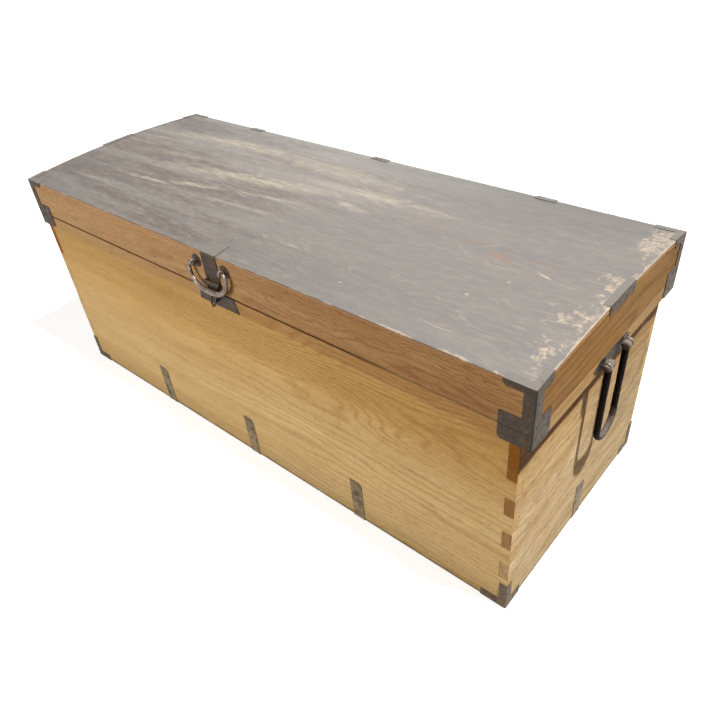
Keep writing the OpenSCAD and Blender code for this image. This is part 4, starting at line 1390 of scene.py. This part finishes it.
@dataclass
class SheetIron:
    """Corner irons, straps and hinge leaves, with their nails."""

    easing: float = 0.0004
    end_share: float = 0.88
    side: float = SIZES.half_depth + SIZES.sheet
    lid_end: float = SIZES.half_lid + SIZES.sheet
    box_end: float = SIZES.half_box + SIZES.sheet
    nails: dict[str, list[tuple[Triple, Triple]]] = field(default_factory=lambda: {"chest": [], "lid": []})

    def build(self) -> None:
        """Dresses the sheets and sets the nails on each body."""
        finish = SHEET_IRON.material()
        kept = [n for n in frame["nodes"] if n.endswith(("_iron", "_strap", "_leaf")) or n == "lock_plate"]
        for node in kept:
            eased_copy(node, finish, self.easing, 0.0012, 1)
        self.corner_nails()
        self.strap_nails()
        self.hasp_nails()
        self.hinge_nails()
        for body, nails in self.nails.items():
            nail_heads(nails).piece(f"{body}_nails", finish, body, "sheet_iron")

    def at_corners(self, body: str, half: float, *spots: tuple[float, float]) -> None:
        """Sets nails in pairs, one on the long face and one on the end face, at all four corners.

        Args:
            body: The body that carries the irons.
            half: Half length of the chest where they sit.
            *spots: Distances from the corner along the long face, each with a height.
        """
        for from_end, height in spots:
            for sx in (-1, 1):
                for sy in (-1, 1):
                    inward = SIZES.half_depth - from_end * self.end_share
                    self.nails[body] += [
                        ((sx * (half - from_end), sy * self.side, height), (0, sy, 0)),
                        ((sx * (half + SIZES.sheet), sy * inward, height), (sx, 0, 0))]

    def corner_nails(self) -> None:
        """Sets the nails of the lid's corner irons, those under the seam and those at the floor."""
        edge, seam = SIZES.edge, SIZES.seam
        self.at_corners("lid", SIZES.half_lid, (0.048, edge - 0.0065), (0.008, edge - 0.030),
                        (0.010, seam + 0.014), (0.034, seam + 0.020), (0.053, seam + 0.008))
        self.at_corners("chest", SIZES.half_lid, (0.010, seam - 0.010), (0.034, seam - 0.020),
                        (0.053, seam - 0.008))
        self.at_corners("chest", SIZES.half_box, (0.009, 0.011), (0.030, 0.011), (0.050, 0.011),
                        (0.0085, 0.040), (0.0085, 0.065))

    def strap_nails(self) -> None:
        """Sets the nails of the base straps, the lid's end straps and the lock plate."""
        chest, lid, seam = self.nails["chest"], self.nails["lid"], SIZES.seam
        base = ((0.008, 0.014), (-0.008, 0.050), (0.006, 0.084), (-0.007, 0.111))
        base_end = ((0.020, 0.014), (0.004, 0.048), (0.018, 0.088))
        lock = ((0.058, seam - 0.028), (0.050, seam - 0.009), (0.028, seam - 0.028))
        for way in (-1, 1):
            chest.extend(((x + dx, way * self.side, z), (0, way, 0))
                         for x in (-SIZES.strap_x, 0.0, SIZES.strap_x) for dx, z in base)
            chest.extend(((way * self.box_end, way * dy, z), (way, 0, 0)) for dy, z in base_end)
            lid.extend(((way * self.lid_end, dy, float(SIZES.arch(dy)) - 0.010), (way, 0, 0))
                       for dy in (-0.042, -0.014, 0.014, 0.042))
            chest.extend(((way * x, -self.side, z), (0, -1, 0)) for x, z in lock)

    def hasp_nails(self) -> None:
        """Sets the nails of the hasp's fixed strap, on the front and on the top."""
        on_front = ((-0.015, 0.576), (0.015, 0.574), (0.0, 0.551), (-0.014, 0.530), (0.014, 0.530))
        on_top = ((-0.014, -0.262), (0.014, -0.262), (-0.012, -0.250), (0.012, -0.250))
        self.nails["lid"] += [((x, -SIZES.half_depth - 0.002, z), (0, -1, 0)) for x, z in on_front]
        self.nails["lid"] += [((x, y, float(SIZES.arch(y)) + 0.002), (0, 0, 1)) for x, y in on_top]

    def hinge_nails(self) -> None:
        """Sets the nails of the rear hinges' leaves."""
        upper = ((-0.014, 0.570), (0.014, 0.568), (0.0, 0.540), (-0.012, 0.510), (0.012, 0.510))
        lower = ((-0.014, 0.470), (0.014, 0.470), (0.0, 0.445), (-0.012, 0.418), (0.012, 0.418))
        for body, leaf in (("lid", upper), ("chest", lower)):
            self.nails[body] += [((x + dx, SIZES.half_depth + 0.0018, z), (0, 1, 0))
                                 for x in (-SIZES.hinge_x, 0.0, SIZES.hinge_x) for dx, z in leaf]


@dataclass
class FrontBail:
    """Handle of the lid with its eyes and rosettes, and the hasp behind it."""

    pivot_y: float = -0.2987
    pivot_z: float = 0.556
    eye_x: float = 0.046
    eye_half: float = 0.0039
    end_x: float = 0.0499
    shoulder: float = 0.010
    drop: float = 0.054
    arm: float = 0.004
    grip_high: float = 0.007
    grip_deep: float = 0.0055
    shrink: float = 0.985
    lean: float = 7.0
    square: float = 2.5
    share: float = 0.2
    disc: float = 0.0155
    disc_rise: float = 0.003

    def path(self, s: np.ndarray) -> np.ndarray:
        """Middle line of the bail in its own plane, from -1 at the left pivot to 1 at the right.

        The shoulders are quarter circles, and between them runs a superellipse, whose sine and
        cosine are raised to 2 over its squareness.

        Args:
            s: Places along the bail.

        Returns:
            Points as X, 0 and the drop below the pivots.
        """
        side, a = np.sign(s), np.abs(s)
        half = self.end_x + self.shoulder
        t = np.radians(90 * (a - 1 + self.share) / self.share)
        u = self.bow_turn(s)
        p = 2 / self.square
        curl = np.stack([self.end_x + self.shoulder * np.cos(t), self.shoulder * (np.sin(t) - 1)], -1)
        bow = np.stack([half * np.sin(u) ** p,
                        -self.shoulder - (self.drop - self.shoulder) * np.abs(np.cos(u)) ** p], -1)
        flat = np.where((a > 1 - self.share)[:, None], curl, bow)
        return np.column_stack([side * flat[:, 0], np.zeros(len(s)), flat[:, 1]])

    def bow_turn(self, s: np.ndarray) -> np.ndarray:
        """Gives the angle from the bow's middle, which is a right angle at and beyond its ends."""
        return np.radians(90 * np.clip(np.abs(s) / (1 - self.share), 0, 1))

    def bail_skin(self) -> Skin:
        """Gives the bar with its pivots and knobs, leaning away from the lid at the foot.

        The bar's half widths grow from the arm's to the grip's with the cosine of the bow's angle,
        raised to 1.5. Then everything is turned about the pivots by the lean.

        Returns:
            The surface.
        """
        s = np.linspace(-1, 1, 161)
        path = self.path(s)
        full = np.cos(self.bow_turn(s)) ** 1.5
        wide = self.arm + (self.grip_high - self.arm) * full
        deep = self.arm + (self.grip_deep - self.arm) * full
        across = np.cross(np.gradient(path, axis=0), [0, 1.0, 0])
        rings = bar_rings(path, across, wide * self.shrink, deep * self.shrink, 24, 2.15)
        parts = [sweep(hammered(rings, 0.00035, 5))]
        inner = self.eye_x - self.eye_half
        pin = [(0.0005, 0), (0.0034, 0.0), (0.0034, self.end_x + self.arm - inner)]
        knob = [(0.002, 0), (0.0050, 0.0002), (0.0057, 0.0008), (0.0057, 0.0016), (0.0046, 0.0022),
                (0.001, 0.0024)]
        for side in (-1, 1):
            parts.append(revolve(pin, (side * inner, 0, 0), (side, 0, 0), 24))
            parts.append(revolve(knob, (side * inner, 0, 0), (-side, 0, 0), 24))
        skin = Skin.joined(parts)
        c, s = math.cos(math.radians(self.lean)), math.sin(math.radians(self.lean))
        turned = skin.points @ [[1, 0, 0], [0, c, -s], [0, s, c]] + [0, self.pivot_y, self.pivot_z]
        return Skin(turned, skin.quads, skin.triangles)

    def build(self) -> None:
        """Makes the bail and dresses the eyes, rosettes and hasp."""
        self.bail_skin().piece("forged_bail", GRIP_IRON.material(), "front_bail", "dark_iron", ["front_bail"])
        self.rosettes()
        dress(EYE_IRON.material(), "left_bail_eye", "right_bail_eye")
        dress(DARK_IRON.material(), "lock_staple", "hasp_pin", "hinge_pins")
        eased_copy("hasp_tongue", SHEET_IRON.material(), 0.0005, 0.002, 1)

    def rosettes(self) -> None:
        """Makes the domed discs under the eyes, each with a raised bead along its rim.

        From rim to middle the height rises as a sine raised to 1.3, the bead on it is a bell curve,
        and both together are held under the disc's whole rise.
        """
        finish = DARK_IRON.material()
        t = np.linspace(0, 1, 15)
        radius = self.disc - 0.0130 * t
        bead = 0.0005 * np.exp(-((t - 0.13) / 0.07) ** 2)
        height = np.minimum(0.0007 + 0.0023 * np.sin(t * np.pi / 2) ** 1.3 + bead, self.disc_rise)
        profile = [(0.0024, 0.0), (self.disc, 0.0), *zip(radius, height)]
        for side, name in ((-1, "left_rosette"), (1, "right_rosette")):
            disc = revolve(profile, (side * self.eye_x, -SIZES.half_depth, self.pivot_z), (0, -1, 0), 40)
            disc.piece("domed_" + name, finish, "lid", "dark_iron", [name])


@dataclass
class PoleBail:
    """One of the long bails that the carrying pole goes through."""

    side: int
    bar: float = 0.0065
    button_y: float = 0.0483

    def build(self) -> None:
        """Makes the bail and dresses its eyes."""
        name = "left_pole" if self.side < 0 else "right_pole"
        skin = Skin.joined([self.bar_skin(), *self.boss(-1), *self.boss(1)])
        if self.side < 0:
            skin = skin.mirrored(0)
        skin.piece(f"forged_{name}_bail", POLE_IRON.material(), f"{name}_bail", "dark_iron", [f"{name}_bail"])
        dress(EYE_IRON.material(), f"{name}_eyes")

    def bar_skin(self) -> Skin:
        """Gives the bent bar.

        Its path goes straight down from one boss, round half a circle and up to the other. Its
        thickness swells by two sines, of a few hundredths, as it was worked.

        Returns:
            The surface.
        """
        half_gap, bend_z = SIZES.pole_half_gap, SIZES.pole_bend_z
        straight = np.linspace(SIZES.pole_z, bend_z, 40, endpoint=False)
        turn = np.linspace(0, np.pi, 49)
        front = np.column_stack([np.full(len(straight), -half_gap), straight])
        bow = np.column_stack([-half_gap * np.cos(turn), bend_z - half_gap * np.sin(turn)])
        flat = np.concatenate([front, bow, (front * [-1, 1])[::-1]])
        path = np.column_stack([np.full(len(flat), SIZES.pole_x), flat])
        place = np.linspace(0, 1, len(path))
        swell = self.bar * (0.965 + 0.025 * np.sin(place * 29) + 0.01 * np.sin(place * 67))
        across = np.tile([1.0, 0, 0], (len(path), 1))
        return sweep(hammered(bar_rings(path, across, swell, swell * 0.99, 22, 2.2), 0.0004, 9))

    def boss(self, way: int) -> list[Skin]:
        """Gives the rounded head of a leg, its pivot and the button that holds it.

        Args:
            way: -1 for the front leg, 1 for the rear one.

        Returns:
            Their surfaces.
        """
        centre = (SIZES.pole_x, way * SIZES.pole_half_gap, SIZES.pole_z)
        head = [(0.002, 0.0064), (0.0070, 0.0062), (0.0084, 0.0052), (0.0090, 0.0030)]
        head = [(r, -h) for r, h in head] + head[::-1]
        pin = [(0.0005, 0.0), (0.0041, 0.0), (0.0041, self.button_y + 0.002 - SIZES.pole_half_gap)]
        button = [(0.001, 0.0), (0.0062, 0.0002), (0.0072, 0.0010), (0.0072, 0.0026), (0.0060, 0.0037),
                  (0.001, 0.0040)]
        start = (SIZES.pole_x, way * self.button_y, SIZES.pole_z)
        return [revolve(profile, middle, (0, way, 0), sides)
                for profile, middle, sides in ((head, centre, 32), (pin, centre, 24), (button, start, 28))]


@dataclass
class PolePlates:
    """Pointed back plates of the pole bails, with a nail at each tip."""

    tip_y: float = 0.062

    def build(self) -> None:
        """Dresses both plates and nails them to the battens."""
        finish = DARK_IRON.material()
        for side, name in ((-1, "left"), (1, "right")):
            eased_copy(f"{name}_pole_plate", finish, 0.0004, 0.0012, 1)
            face = side * (SIZES.half_lid + SIZES.sheet)
            nails = [((face, way * self.tip_y, SIZES.pole_z), (side, 0, 0)) for way in (-1, 1)]
            nail_heads(nails).piece(f"{name}_plate_nails", finish, "chest", "dark_iron")


# ---- studio -------------------------------------------------------------------------------


@dataclass(frozen=True)
class Lamp:
    """A square soft lamp that looks at a point of the chest from a distance along a way."""

    name: str
    target: Triple
    way: Triple
    distance: float
    size: float
    power: float
    colour: Triple = srgb(255, 251, 245)

    def hang(self) -> None:
        """Adds the lamp to the scene."""
        data = bpy.data.lights.new(self.name, "AREA")
        data.size, data.energy, data.color = self.size, self.power, self.colour
        out = Vector(self.way).normalized()
        lamp = added(self.name, data)
        lamp.location = Vector(self.target) + out * self.distance
        lamp.rotation_euler = out.to_track_quat("Z", "Y").to_euler()


LAMPS = (
    Lamp("key", (0.74, 0.0, 0.4), (0.282, 0.02, 0.959), 5.0, 0.16, 655.0),
    Lamp("front fill", (0.0, 0.0, 0.3), (-0.10, -0.92, 0.35), 3.6, 2.2, 102.0),
    Lamp("rear fill", (0.0, 0.0, 0.2), (-0.62, 0.78, 0.05), 3.8, 2.0, 72.0),
)


@dataclass
class Studio:
    """Floor, lamps and camera."""

    azimuth: float = 44.2522
    elevation: float = 38.5523
    roll: float = -5.9671
    place: Triple = (1.0810, -0.9865, 1.2395)
    lens: float = 33.548
    shift: tuple[float, float] = (0.0019, 0.0126)
    white: Triple = (1.0, 1.0, 1.0)
    warm: Triple = (1.0, 0.74, 0.50)
    shadow: Triple = (0.10, 0.080, 0.055)

    def build(self) -> None:
        """Sets up everything around the chest."""
        bpy.context.scene.view_settings.view_transform = "Standard"
        self.camera()
        self.floor()
        self.world()
        for lamp in LAMPS:
            lamp.hang()

    def camera(self) -> None:
        """Places the camera by its azimuth, elevation and roll."""
        az, el, roll = (math.radians(v) for v in (self.azimuth, self.elevation, self.roll))
        back = Vector((math.sin(az) * math.cos(el), -math.cos(az) * math.cos(el), math.sin(el)))
        level = Vector((math.cos(az), math.sin(az), 0))
        upright = back.cross(level)
        right = level * math.cos(roll) + upright * math.sin(roll)
        up = upright * math.cos(roll) - level * math.sin(roll)
        data = bpy.data.cameras.new("camera")
        data.lens, data.sensor_width = self.lens, 36.0
        data.shift_x, data.shift_y = self.shift
        data.clip_start, data.clip_end = 0.05, 60
        eye = added("camera", data)
        eye.matrix_world = Matrix.Translation(self.place) @ Matrix((right, up, back)).transposed().to_4x4()
        bpy.context.scene.camera = eye

    @staticmethod
    def seen(g: Graph) -> Value:
        """Gives 1 for rays that show the backdrop: straight, mirrored or refracted ones."""
        path = g.add("LightPath").outputs
        return g.most(*(Value(g, path[f"Is {kind} Ray"]) for kind in ("Camera", "Glossy", "Transmission")))

    def world(self) -> None:
        """Makes the world white to the eye and a soft warm light to surfaces."""
        world = bpy.data.worlds.new("white room")
        world.use_nodes = True
        world.node_tree.nodes.clear()
        g = Graph(world.node_tree)
        white = g.out("Background", {"Color": self.white, "Strength": 1.0})
        soft = g.out("Background", {"Color": self.warm, "Strength": 0.115})
        g.add("OutputWorld", {"Surface": g.out("MixShader", {0: self.seen(g), 1: soft, 2: white})})
        bpy.context.scene.world = world

    def floor(self) -> None:
        """Lays a pale floor that keeps the chest's shadow."""
        reach = np.linspace(-9, 9, 7)
        x, y = np.meshgrid(reach, reach)
        points = np.stack([x, y, np.zeros_like(x)], -1).reshape(-1, 3)
        index = np.arange(x.size).reshape(x.shape)
        quads = np.stack([index[:-1, :-1], index[:-1, 1:], index[1:, 1:], index[1:, :-1]], -1).reshape(-1, 4)
        mesh = bpy.data.meshes.new("floor")
        mesh.from_pydata(points.tolist(), [], quads.tolist())
        g = Surface("pale_floor")
        plain = g.out("BsdfDiffuse", {"Color": self.shadow})
        pale = g.out("BsdfDiffuse", {"Color": (0.5, 0.5, 0.5)})
        strength = g.step(g.length(g.own), 1.2, 3.0) * 0.4 + 0.72
        glow = g.out("Emission", {"Color": self.white, "Strength": strength})
        lit = g.out("AddShader", {0: pale, 1: glow})
        g.add("OutputMaterial", {"Surface": g.out("MixShader", {0: self.seen(g), 1: plain, 2: lit})})
        mesh.materials.append(g.material)
        added("floor", mesh)


def main() -> None:
    """Builds the chest's pieces in order."""
    logging.basicConfig(level=logging.INFO, format="%(name)s: %(message)s")
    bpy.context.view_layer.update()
    for part in (BoxTimber(), LidTimber(), SheetIron(), FrontBail(), PoleBail(-1), PoleBail(1),
                 PolePlates(), Studio()):
        LOG.info("building %s", type(part).__name__)
        part.build()


if __name__ == "__main__":
    main()
